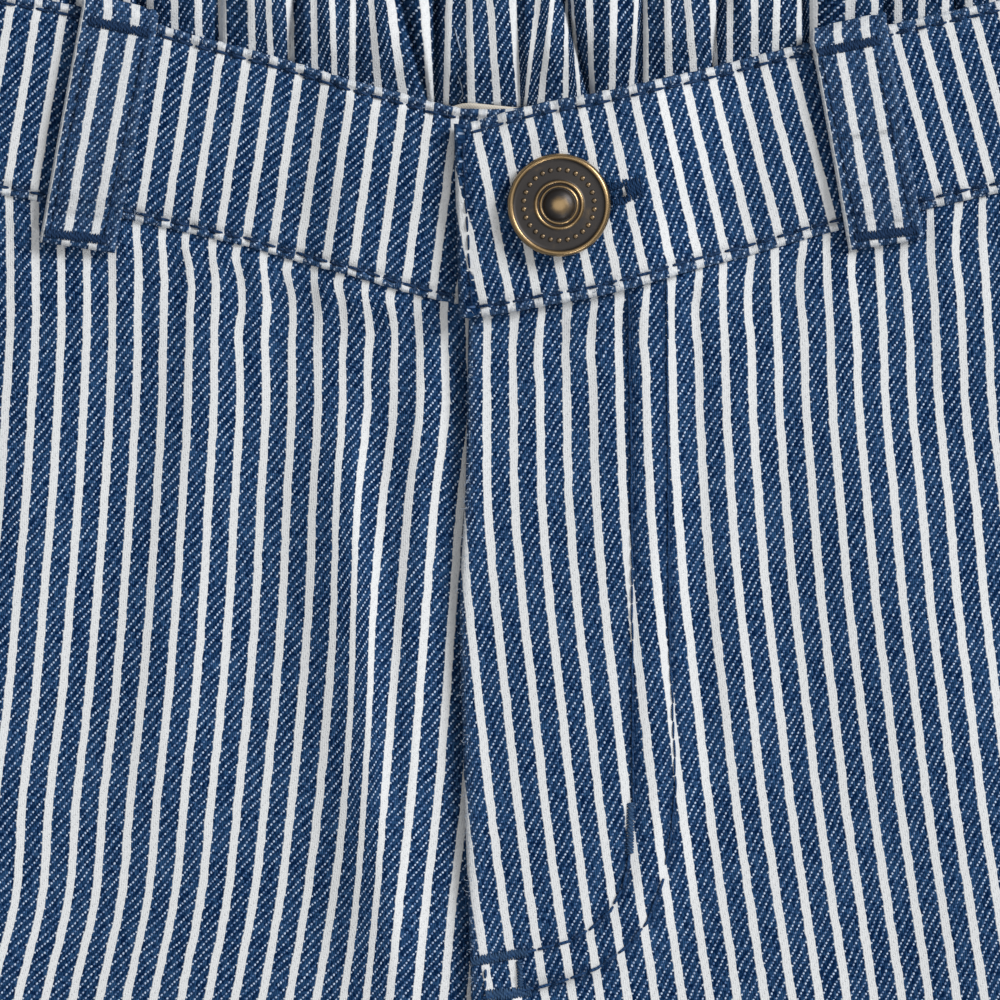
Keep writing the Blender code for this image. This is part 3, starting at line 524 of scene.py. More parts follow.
def panel_grid(side):
    """x, y, distances from the inner and outer ends, and height over the leg's end, as grids."""
    rows, heights = [], []
    near = RIM_STEPS + steps_between(0.6, 82, FINE)
    for y0 in RISE_Y:
        if side > 0:
            inner_x = float(curve(FLY_EDGE, y0 - 1.6))
        else:
            inner_x = float(curve(UNDERLAP_EDGE, y0))
            near = [0, 0.1, 0.3, inner_x * 0.4, inner_x * 0.75]
            near += [inner_x + s for s in steps_between(-0.5, 70, FINE)]
        rows.append(rise_row(side, inner_x, y0, near))
        heights.append(400 + y0)
    if side < 0:
        near = [0, 0.1, 0.3, 0.6, 1.2] + steps_between(1.2, 71.6, 70.4 / (len(near) - 5))
    for t in LEG_T:
        rows.append(row_across(*leg_ends(side, t), near))
        heights.append(LEG_LONG * (1 - t))
    x, y, inner, outer = (np.stack([row[n] for row in rows]) for n in range(4))
    return x, y, inner, outer, np.array(heights)[:, None] + np.zeros(x.shape)


def front_panel(side):
    x, y, inner, outer, end = panel_grid(side)
    seam = SEAMS[side]
    above = y > CROTCH_Y
    beside = np.where(above, seam_blend(x, y, seam), 0)
    drop = curve(seam, x) - y
    at = x + np.where(above, seam_jog(x, drop, side), 0)
    low = front_low(x, y)
    soft = folds(x, y) * (1 - beside)
    fine = 0.5 * ripple(x, y) * ease(drop / 20)
    fine += 0.8 * puckers(x, drop, 0.4 if side > 0 else 1.9) * ease((drop - 0.4) / 3)
    ridge = allowance(outer, np.where(above, inner + 50, inner), y)
    turned = hem_rise(end)
    thick = CLOTH + (HEM - CLOTH) * turned
    thick -= groove(end - HEM_STITCH, x, 0.3, 0.8, 3) + groove(outer - 1.9, y, 0.25, 0.7, 3)
    wear = 0.18 * ridge / ALLOWANCE + 0.6 * bell(end, 1.2)
    matting_and_shade = 0
    if side > 0:
        lap = panel_lap(x, y) * (1 - beside) + (SEAM_LIFT + 0.63 * band_lap(x)) * beside
        low = low + np.where(above, lap, 0)
        k, v = stripes_left(at, y)
        cut, matting_and_shade = fly_grooves(x, y)
        thick += 0.25 * np.where(above, bell(inner - 1.6, 1.5), 0) - cut
        wear += 0.75 * bell(inner, 0.9)
    else:
        calm = np.where(above, ease((0.5 - x) / 4), 1)
        soft, fine = soft * calm, fine * calm
        low = low + SEAM_LIFT * beside
        k, v = stripes_right(at, y)
    low = low + soft + fine + ridge * (1 - turned) + (HEM - CLOTH) * turned
    # Below 0 beside the fly's stitching: matted cloth, which the material darkens as painted shade of the
    # channels.
    wear = np.clip(wear, 0, 1) - matting_and_shade
    return shell("front_%s_cloth" % SIDE_NAMES[side], x, y, low, thick, k, v, wear, flip=side < 0, first=0.35)


def band_point(x, v, side):
    """Plan points on a front waistband, v from 0 at its lower edge to 1 at its upper edge."""
    far = np.maximum(side * x, 0)
    lean = -side * curve(LEAN, far) * ease((side * x + 26) / 26)
    bottom = curve(SEAMS[side], x - lean / 2) + SEAM
    return x + lean * (v - 0.5), bottom + (curve(TOPS[side], x + lean / 2) - bottom) * v


def band_spot(x, v, side):
    px, py = band_point(np.array([x]), v, side)
    return float(px[0]), float(py[0])


def band_low(x, y, side):
    return front_low(x, y) + (band_lap(x) if side > 0 else 0)


def band_top(x, y, side):
    return band_low(x, y, side) + BAND


def end_line(share):
    """Distance of the stitched line from the upper waistband's end."""
    return 1.1 + 0.9 * (1 - share)


def nearest(values, value):
    return int(np.argmin(abs(values - value)))


def band_grid_lines(side):
    """x of the waistband's columns and heights of its rows, which are close at its edges and buttonhole."""
    half = HOLE_HALF / BAND_HIGH
    rim = [s / BAND_HIGH for s in RIM_STEPS + [0.85, 1.1, 1.4, 1.7, 2, 2.4, 3]]
    vs = rim + [1 - h for h in rim] + list(np.linspace(0.14, HOLE_V - half, 11))
    vs += [HOLE_V - half + 0.004, HOLE_V, HOLE_V + half - 0.004] + list(np.linspace(HOLE_V + half, 0.86, 12))
    if side > 0:
        xs = [LAP_END + s for s in RIM_STEPS] + steps_between(LAP_END + 0.6, HOLE_X[0], FINE)
        xs += steps_between(*HOLE_X, FINE) + steps_between(HOLE_X[1], 78, FINE) + steps_between(78, 114.5, 2.5)
    else:
        xs = [25 - s for s in RIM_STEPS] + steps_between(24.4, 1, 2.5)
        xs += steps_between(1, -70, FINE) + steps_between(-70, -114.5, 2.5)
    xs += [side * (BAND_END - s) for s in RIM_STEPS[::-1]]
    return np.array(xs), np.array(sorted(set(vs), reverse=True))


def front_band(side):
    """A front waistband with its stitched edges; the left one has the buttonhole."""
    xs, vs = band_grid_lines(side)
    x, y = (np.stack(part) for part in zip(*(band_point(xs, v, side) for v in vs)))
    share = vs[:, None] + np.zeros(x.shape)
    down = share * BAND_HIGH
    from_edge = np.minimum(down, BAND_HIGH - down)
    line = np.where(share < 0.5, STITCH_LOW[side], STITCH_HIGH)
    # Both folded edges puff out a little between the stitches.
    puff = 0.5 - 0.5 * np.cos(2 * math.pi * x / STITCH + 1.5 * np.sin(x * 0.23))
    y = y + 0.16 * puff * (bell(BAND_HIGH - down, 0.8) - 0.6 * bell(down, 0.8))
    swell = CROWN * np.sin(math.pi * np.clip((share - 0.05) / 0.9, 0, 1)) ** 0.8
    cut = groove(from_edge - line, x, 0.8, 0.6) - 0.35 * bell(from_edge - 0.55, 0.55) * puff
    uneven = 0.11 * np.sin(x * 1.9 + 2.2 * np.sin(x * 0.37)) * bell(from_edge, 4)
    uneven += 0.25 * (ripple(x * 1.4, y * 1.6) - 0.5) * ease(from_edge / 6)
    if side < 0:
        uneven *= ease((0.5 - x) / 4)
    thick = BAND + swell - cut + uneven
    first, pitch = BAND_STRIPE_LEFT if side > 0 else BAND_STRIPE_RIGHT
    lean = curve(BAND_LEAN_LEFT if side > 0 else BAND_LEAN_RIGHT, np.maximum(side * x, 0))
    at = x - lean * (share - 0.5)
    wear = 0.75 * bell(from_edge, 0.75) + 0.25 * bell(from_edge - line, 0.8)
    hole = None
    if side > 0:
        from_end = x - x[:, :1]
        past = from_end - end_line(share)
        at = at + 0.7 * (1 - ease((past + 0.35) / 0.7))
        # Beside the end's stitched line the value goes below 0: matted cloth, which the material darkens as
        # painted shade of its groove.
        wear = np.maximum(wear, 0.7 * bell(from_end, 0.8)) - 0.8 * bell(past, 0.7)
        half = HOLE_HALF / BAND_HIGH
        top_row, low_row = nearest(vs, HOLE_V + half), nearest(vs, HOLE_V - half)
        hole = top_row, low_row, nearest(xs, HOLE_X[0]), nearest(xs, HOLE_OPEN)
        # Past the button the slot's lips meet.
        slit = ease((x - HOLE_OPEN - 0.3) / 0.8) * ease((HOLE_X[1] + 0.2 - x) / 0.8)
        thick = thick - groove(past, y, 0.55, 0.55) - 0.7 * slit * bell((share - HOLE_V) * BAND_HIGH, 0.22)
    name = "waistband_%s_cloth" % SIDE_NAMES[side]
    return shell(name, x, y, band_low(x, y, side), thick, (at - first) / pitch, down,
                 np.clip(wear, -1, 1), hole, flip=side < 0, last=0.18)


def crease_cut(x, y):
    """Depth of the pinched line at the foot of each crease of the gathered band."""
    feet, depth = crease_lines(y)
    return (1.7 * np.maximum(depth - 0.1, 0) * bell(x[..., None] - feet, 0.5)).max(axis=-1)


def gather_cloth(x, y):
    """Stripe number across the gathered cloth."""
    upper, lower = np.array(BACK_STRIPES).T
    more = BACK_STRIPE_PITCH * np.arange(1, 22)
    upper, lower = (np.concatenate([row[0] - more[::-1], row, row[-1] + more]) for row in (upper, lower))
    high, foot = BACK_STRIPES_Y
    t = np.clip((y - foot) / (high - foot), -0.15, 1.2)[..., None]
    i, a, b = place_among(x, lower + (upper - lower) * t)
    return i + (x - a) / (b - a)


def back_band():
    end = BAND_END - 0.6
    xs = [-BAND_END + s for s in RIM_STEPS] + steps_between(-end, -72, 1.6) + steps_between(-72, 84, 0.4)
    xs = np.array(xs + steps_between(84, end, 1.6) + [BAND_END - s for s in RIM_STEPS[::-1][1:]])
    shares = [s / BACK_HIGH for s in RIM_STEPS + [0.9, 1.4, 1.9, 2.6]]
    shares += [1 - s for s in shares] + list(np.linspace(0.12, 0.45, 7)) + list(np.linspace(0.47, 0.88, 18))
    share = np.array(sorted(set(shares), reverse=True))[:, None] + np.zeros(len(xs))
    x = xs * (BAND_END - 2 * (share - 0.5)) / BAND_END
    bottom = back_seam(x) + SEAM
    y = bottom + (curve(BACK_WAIST, np.abs(x), 2) - bottom) * share
    free = ease((y - front_top(x) + 1) / 10) * (1 - ease((np.abs(x) - STRETCH_END) / 20))
    small = 0.22 * np.sin(x * 1.55 + 0.9 * np.sin(y * 0.12 + x * 0.21)) * free
    thick = BACK_BAND + small - crease_cut(x, y)
    wear = 0.6 * bell(np.minimum(share, 1 - share) * BACK_HIGH, 0.9)
    k, v = gather_cloth(x, y), share * BACK_HIGH
    return shell("waistband_back_cloth", x, y, back_low(x, y), thick, k, v, wear)


def back_panel(side):
    inside = np.linspace(0, 1, 78)[1:-1]

    def spread(inner, outer):
        length = math.hypot(outer[0] - inner[0], outer[1] - inner[1])
        steps = [RIM_STEPS, 0.6 + (length - 1.2) * inside, length - np.array(RIM_STEPS[::-1])]
        at = np.concatenate(steps) / length
        return inner[0] + (outer[0] - inner[0]) * at, inner[1] + (outer[1] - inner[1]) * at

    rows, heights = [], []
    for drop in [-s for s in RIM_STEPS] + steps_between(-0.6, -75, 2.6):
        outer_x = float(curve(SIDE, 24 - SEAM + drop * 0.9))
        x, _ = spread((side * SEAM, 0), (side * outer_x, 0))
        rows.append((x, back_seam(x) - SEAM + drop * (1 - 0.1 * (x / outer_x) ** 2)))
    for y0 in steps_between(-80, CROTCH_Y, 4):
        outer_y = -46.4 + (CROTCH_Y + 5 + 46.4) * (-49 - y0) / 106
        inner = (side * (SEAM + 2.35 * ease((-150 - y0) / 5)), y0)
        rows.append(spread(inner, (side * float(curve(SIDE, outer_y)), outer_y)))
    heights = [400] * len(rows) + [LEG_LONG * (1 - t) for t in LEG_T]
    rows += [spread(*leg_ends(side, t)) for t in LEG_T]
    x, y = (np.stack([row[n] for row in rows]) for n in (0, 1))
    end = np.array(heights)[:, None] + np.zeros(x.shape)
    low = np.where(y > -60, back_low(x, y), 0)
    k = x / PITCH + 0.09 * y / PITCH * side
    return shell("back_%s_cloth" % SIDE_NAMES[side], x, y, low, CLOTH + (HEM - CLOTH) * hem_rise(end), k, y,
                 0.5 * bell(end, 1.2), flip=side < 0)


def inner_label():
    left, right, bottom, top = LABEL_BOX
    back = RIM_STEPS[::-1][1:]
    xs = [left + s for s in RIM_STEPS] + steps_between(left + 0.6, right - 0.6, 1.2) + [right - s for s in back]
    ys = [top - s for s in RIM_STEPS] + steps_between(top - 0.6, bottom + 0.6, 1.2) + [bottom + s for s in back]
    x, y = np.meshgrid(xs, ys)
    # Its upper edge is bowed.
    y = y - (0.1 * np.maximum(x - 1.5, 0) + 0.3 * np.clip(-x, 0, 4)) * (y - bottom) / (top - bottom)
    flat = np.zeros(x.shape)
    return shell("inner_label_cloth", x, y, over_back(x, y, 3, 3), flat + LABEL, x, y, flat)


def surface_under_loop(x, y, side):
    lap = SEAM_LIFT + (0.63 * band_lap(x) if side > 0 else 0)
    return np.where(y > curve(SEAMS[side], x), band_top(x, y, side), front_low(x, y) + lap + CLOTH)


def loop_section(side, off, foot_x, foot_y, head_x):
    """Points along a belt loop's outer and inner faces, at a distance from its middle line."""
    inset = LOOP_HALF - abs(off)
    rim = 0.42 * LOOP * (1 - quarter(min(inset / 0.6, 1)))
    channel = 0.22 * bell(inset - 1.5, 0.6)
    head, seam_y = float(curve(TOPS[side], head_x + off)), float(curve(SEAMS[side], foot_x + off))
    foot = foot_y + side * 0.15 * off
    # Height in the plan, and how far the loop stands off what is under it.
    ys, clear = np.array((
        (foot, 0.3), (foot + 0.35, 0.3), (foot + 0.7, 0.3), (seam_y - 0.9, 0.35), (seam_y + 1.2, 0.35),
        (seam_y + 5, 0.7), (foot + 16, 1), (head - 6, 0.7), (head - 2, 0.4), (head + 0.1, 0.35),
    )).T
    xs = foot_x + off + (head_x - foot_x) * (ys - foot) / (head - foot)
    zs = surface_under_loop(xs, ys, side)
    edge = band_top(xs, np.full(len(xs), seam_y), side) - 0.9
    zs = np.where(ys < seam_y, np.maximum(zs, edge), zs)
    fall = zs[-1] - BAND + 0.8
    fine = np.unique(np.concatenate([ys, np.arange(ys[0], ys[-1], 0.8)]))
    xs, zs = np.interp(fine, ys, xs), np.interp(fine, ys, zs + clear)
    zs[3:-3] = np.convolve(zs, np.array([1, 2, 3, 4, 3, 2, 1]) / 16, "same")[3:-3]
    pinch = 0.42 * LOOP * (1 - quarter(np.clip((fine - ys[0]) / 0.6, 0, 1)))
    inner = list(zip(xs, fine, zs + rim + pinch))
    outer = list(zip(xs, fine, zs + LOOP - rim - pinch - channel - 0.12 * bell(off, 1.2)))
    # Over the waistband's edge and down behind it.
    x, y, z = inner[-1]
    z -= rim
    thick = LOOP - rim - channel
    for turn in np.linspace(0.25, 1, 4) * math.pi / 2:
        up, out = math.cos(turn), math.sin(turn)
        inner.append((x, y + (0.25 + rim) * out, z - 0.5 * (1 - up)))
        outer.append((x, y + (0.25 + thick) * out, z - 0.6 + (thick + 0.6) * max(up, 0.25)))
    for share in (0.35, 0.7, 1):
        inner.append((x, y + 0.25 + rim, z - 0.5 + (fall - z + 0.5) * share))
        outer.append((x, y + 0.25 + thick, z - 0.2 + (fall - z + 0.2) * share))
    return outer, inner


def in_step(rows):
    """Rows of points, each brought to the same number of points."""
    count = min(len(row) for row in rows)
    even = []
    for row in rows:
        at = np.linspace(0, len(row) - 1, count)
        even.append(np.stack([np.interp(at, range(len(row)), part) for part in zip(*row)], axis=-1))
    return np.array(even)


def belt_loop(name, *place):
    side = 1 if place[0] > 0 else -1
    offs = [s - LOOP_HALF for s in RIM_STEPS] + list(np.linspace(0.9 - LOOP_HALF, LOOP_HALF - 0.9, 17))
    offs = np.array(sorted(offs + [LOOP_HALF - s for s in RIM_STEPS]))
    high, under = (in_step(rows) for rows in zip(*(loop_section(side, off, *place) for off in offs)))
    flat = np.zeros(high.shape[:2])
    wear = 0.5 * bell(LOOP_HALF - np.abs(offs), 0.8) + 0.35
    k = offs / PITCH + 0.43
    return closed_sheet(name + "_cloth", high, under, k[:, None] + flat, high[..., 1], wear[:, None] + flat)


# The button's turned cap: radius, height over its seat, polish from 0 for dark patina to 1 for worn brass.
BUTTON_TURN = (
    (5.4, -0.1, 0.2), (6.2, 0, 0.3), (6.9, 0.16, 0.4), (7.3, 0.42, 0.6), (7.48, 0.85, 0.75), (7.5, 1.2, 0.9),
    (7.46, 1.55, 0.9), (7.36, 1.83, 1), (7.2, 2.04, 1), (7.02, 2.13, 1), (6.86, 2.12, 0.9), (6.72, 2.02, 0.6),
    (6.62, 1.88, 0.15), (6.5, 1.8, 0), (6.2, 1.78, 0.08), (5.6, 1.8, 0.1), (5, 1.84, 0.12), (4.4, 1.88, 0.12),
    (3.9, 1.92, 0.1), (3.7, 1.94, 0.15), (3.6, 2.02, 0.5), (3.52, 2.14, 0.9), (3.4, 2.2, 1), (3.28, 2.18, 0.9),
    (3.18, 2.08, 0.4), (3.1, 1.9, 0.05), (3, 1.84, 0), (2.9, 1.9, 0.2), (2.8, 2.02, 0.8), (2.7, 2.1, 1),
    (2.6, 2.1, 0.8), (2.5, 2.02, 0.3), (2.42, 1.96, 0.1), (2.34, 2.02, 0.1), (2.24, 2.2, 0.12), (2.08, 2.44, 0.1),
    (1.84, 2.66, 0.1), (1.5, 2.84, 0.2), (1.1, 2.98, 0.45), (0.7, 3.06, 0.8), (0.35, 3.1, 1), (0, 3.12, 1),
)
DOTS = 26  # raised dots round the button's dark ring
DOT_RING, DOT_FOOT = 5.15, 1.78
DOT_TURN = ((0.4, 0, 0.055), (0.38, 0.12, 0.22), (0.3, 0.22, 0.44), (0.16, 0.28, 0.55), (0, 0.3, 0.55))


def ring_faces(base, rings, turns):
    """Quads between rings of points that follow each other."""
    starts = range(base, base + (rings - 1) * turns, turns)
    around = [(n, (n + 1) % turns) for n in range(turns)]
    return [(row + a, row + b, row + b + turns, row + a + turns) for row in starts for a, b in around]


def turned(name, profile, turns, centres):
    """Solids of revolution from radius, height and polish rows; the last row closes the top."""
    points, polish, faces = [], [], []
    angles = [2 * math.pi * n / turns for n in range(turns)]
    *rows, tip = profile
    for x, y in centres:
        base = len(points)
        points += [(x + r * math.cos(a), y + r * math.sin(a), z) for r, z, _ in rows for a in angles]
        foot = len(points)
        points += [(x, y, rows[0][1]), (x, y, tip[1])]
        polish += [shine for _, _, shine in rows for _ in angles] + [rows[0][2], tip[2]]
        faces += ring_faces(base, len(rows), turns)
        for a, b in ((n, (n + 1) % turns) for n in range(turns)):
            faces += [(foot, base + b, base + a), (foot + 1, foot - turns + a, foot - turns + b)]
    return link_mesh(name, np.array(points), faces, polish=polish)


def button():
    middle = BUTTON_X, BUTTON_Y
    at = np.array([BUTTON_X]), np.array([BUTTON_Y])
    low = float(front_low(*at)[0]) + BAND + CROWN + GAP
    seat = float(band_top(*at, 1)[0]) + CROWN + BUTTON_LIFT
    angles = [2 * math.pi * (n + 0.5) / DOTS for n in range(DOTS)]
    ring = [(BUTTON_X + DOT_RING * math.cos(a), BUTTON_Y + DOT_RING * math.sin(a)) for a in angles]
    cap = turned("button_cap", [(r, seat + z, shine) for r, z, shine in BUTTON_TURN], 144, [middle])
    shank_rows = [(SHANK, low, 0.2), (SHANK, seat - 0.05, 0.2), (0, seat - 0.05, 0.2)]
    shank = turned("button_shank", shank_rows, 40, [middle])
    dots = turned("button_dots", [(r, seat + DOT_FOOT + z, shine) for r, z, shine in DOT_TURN], 12, ring)
    return cap, shank, dots


# Sewing thread, laid on the finished cloth.
def tree_of(*items):
    points, faces = [], []
    for item in items:
        start = len(points)
        points += [tuple(v.co) for v in item.data.vertices]
        faces += [[start + i for i in p.vertices] for p in item.data.polygons]
    return BVHTree.FromPolygons(points, faces)


def drop(tree, x, y):
    """Height of the cloth's upper face in millimetres, or None past its edge."""
    hit = tree.ray_cast((x * MM, (y + PLAN_Y) * MM, 0.1), (0, 0, -1))
    return None if hit[0] is None else hit[0].z / MM


class Thread:
    """Collects rounded lengths of thread into one mesh."""

    def __init__(self):
        self.points = []
        self.faces = []

    def tube(self, path, radius, sides=8, taper=0.75):
        path = np.asarray(path, float)
        way = np.gradient(path, axis=0)
        way /= np.maximum(np.linalg.norm(way, axis=1), 1e-9)[:, None]
        side = np.cross(way, (0, 0, 1))
        side /= np.maximum(np.linalg.norm(side, axis=1), 1e-9)[:, None]
        up = np.cross(side, way)
        base, end = len(self.points), len(path) - 1
        angle = 2 * math.pi * np.arange(sides)[:, None] / sides
        for n in range(end + 1):
            r = radius * {0: taper, 1: 0.9}.get(min(n, end - n), 1)
            self.points += list(path[n] + r * (np.cos(angle) * side[n] + np.sin(angle) * up[n]))
        self.faces += ring_faces(base, end + 1, sides)
        self.faces.append(tuple(base + m for m in range(sides))[::-1])
        self.faces.append(tuple(base + end * sides + m for m in range(sides)))

    def lay(self, tree, path, radius, sides=8):
        """A tube whose heights are over the cloth, left out where a point is past the cloth's edge."""
        heights = [drop(tree, x, y) for x, y, _ in path]
        if None not in heights:
            self.tube([(x, y, height + z) for (x, y, z), height in zip(path, heights)], radius, sides)

    def stitches(self, tree, line, step=STITCH, gap=0.5, radius=0.22, sink=0.18, wander=0.07):
        """Lockstitches along a line of points, each one dipping into its needle holes."""
        line = np.asarray(line, float)
        run = np.concatenate([[0], np.cumsum(np.hypot(*np.diff(line, axis=0).T))])
        t = np.linspace(0, 1, 7)
        bow = np.sin(math.pi * t)
        z = radius * 0.7 + 0.05 * bow - sink * (1 - bow) ** 3
        for n in range(max(int(run[-1] / step), 1)):
            shift = wander * rng.standard_normal(2)
            s = n * step + gap / 2 + (step - gap) * t
            x, y = (np.interp(s, run, line[:, axis]) + shift[axis] * t for axis in (0, 1))
            self.lay(tree, list(zip(x, y, z)), radius)

    def bar(self, tree, start, end, wide, radius=0.16, spacing=0.2, lift=0.12):
        """A bartack: thread zigzagged closely across a line."""
        length = math.hypot(end[0] - start[0], end[1] - start[1])
        ux, uy = (end[0] - start[0]) / length, (end[1] - start[1]) / length
        t = np.array((-1, -0.75, -0.35, 0, 0.35, 0.75, 1))
        z = radius * 0.8 + lift * (1 - t * t) - 0.2 * t ** 6
        for n in range(int(length / spacing) + 1):
            s = n * spacing + 0.04 * rng.standard_normal() + 0.5 * spacing * (1 if n % 2 else -1) * t
            reach = 0.5 * wide * (1 + 0.05 * rng.standard_normal()) * t
            x, y = start[0] + ux * s - uy * reach, start[1] + uy * s + ux * reach
            self.lay(tree, list(zip(x, y, z)), radius, 6)

    def hair(self, x, y, z, length, heading, rise, bend):
        t = np.linspace(0, 1, 5)
        turn = heading + bend * t
        path = x + length * t * np.cos(turn), y + length * t * np.sin(turn), z + rise * np.sin(1.9 * t)
        self.tube(np.stack(path, axis=-1), 0.035, sides=4, taper=0.6)

    def make(self, name):
        return link_mesh(name, np.array(self.points), self.faces)


def band_line(side, v_mm, start, end, step=1):
    """Plan points along a front waistband at a height over its lower edge."""
    xs = np.arange(start, end, step if end > start else -step)
    x, y = band_point(xs, v_mm / BAND_HIGH, side)
    return np.stack([x, y], axis=1)


class Value:
    """A node's output that takes part in sums."""

    def __init__(self, nodes, socket):
        self.nodes, self.socket = nodes, socket

    def __abs__(self):
        return self.nodes.math("ABSOLUTE", self)

    def __add__(self, other):
        return self.nodes.math("ADD", self, other)

    def __radd__(self, other):
        return self.nodes.math("ADD", other, self)

    def __sub__(self, other):
        return self.nodes.math("SUBTRACT", self, other)

    def __rsub__(self, other):
        return self.nodes.math("SUBTRACT", other, self)

    def __mul__(self, other):
        return self.nodes.math("MULTIPLY", self, other)

    def __truediv__(self, other):
        return self.nodes.math("DIVIDE", self, other)

    def __pow__(self, other):
        return self.nodes.math("POWER", self, other)


class Nodes:
    """Builds a material's nodes."""

    def __init__(self, name):
        self.material = bpy.data.materials.new(name)
        self.material.use_nodes = True
        self.tree = self.material.node_tree
        self.shader = self.tree.nodes["Principled BSDF"]

    def node(self, kind, inputs=(), output=0, **values):
        """A new node's output. Inputs go by number or name."""
        node = self.tree.nodes.new(kind)
        for key, value in values.items():
            setattr(node, key, value)
        self.put(node, dict(inputs))
        return Value(self, node.outputs[output])

    def put(self, node, inputs):
        for key, value in inputs.items():
            if isinstance(value, Value):
                self.tree.links.new(value.socket, node.inputs[key])
            else:
                node.inputs[key].default_value = value

    def math(self, operation, *values, clamp=False):
        return self.node("ShaderNodeMath", enumerate(values), operation=operation, use_clamp=clamp)

    def ramp(self, value, low, high, start=0, end=1):
        """Smooth step of value from start at low to end at high."""
        inputs = {"Value": value, "From Min": low, "From Max": high, "To Min": start, "To Max": end}
        return self.node("ShaderNodeMapRange", inputs, interpolation_type="SMOOTHSTEP")

    def mix(self, share, first, second):
        return self.node("ShaderNodeMix", {0: share, 6: first, 7: second}, 2, data_type="RGBA")

    def join(self, x, y, z=0):
        return self.node("ShaderNodeCombineXYZ", enumerate((x, y, z)))

    def split(self, vector):
        first = self.node("ShaderNodeSeparateXYZ", {0: vector})
        return [Value(self, first.socket.node.outputs[n]) for n in range(3)]

    def object_place(self):
        return self.node("ShaderNodeTexCoord", output="Object")

    def attribute(self, name):
        return self.node("ShaderNodeAttribute", output="Fac", attribute_name=name)

    def noise(self, vector, scale, detail=2, rough=0.5):
        inputs = {"Vector": vector, "Scale": scale, "Detail": detail, "Roughness": rough}
        return self.node("ShaderNodeTexNoise", inputs, "Fac")

    def grain(self, across, along, seed, detail=2):
        return self.noise(self.join(across, along, seed), 1, detail)

    def bump(self, height, distance, strength):
        inputs = {"Strength": strength, "Distance": distance, "Height": height}
        self.put(self.shader, {"Normal": self.node("ShaderNodeBump", inputs)})

    def finish(self, colour, roughness, metallic=0, specular=0.3, sheen=0, tint=(1, 1, 1, 1)):
        self.put(self.shader, {
            "Base Color": colour, "Roughness": roughness, "Metallic": metallic, "Specular IOR Level": specular,
            "Sheen Weight": sheen, "Sheen Roughness": 0.5, "Sheen Tint": tint, "Specular Tint": tint})
        return self.material


def rgb(*screen):
    """A colour in 0 to 255 screen values as linear light."""
    return tuple(c / 255 / 12.92 if c < 10.3 else ((c / 255 + 0.055) / 1.055) ** 2.4 for c in screen) + (1,)


WARPS = 13  # yarns in one stripe pitch
PICK = 0.412  # millimetres from weft to weft
TWILL = 4  # yarns in the weave's repeat


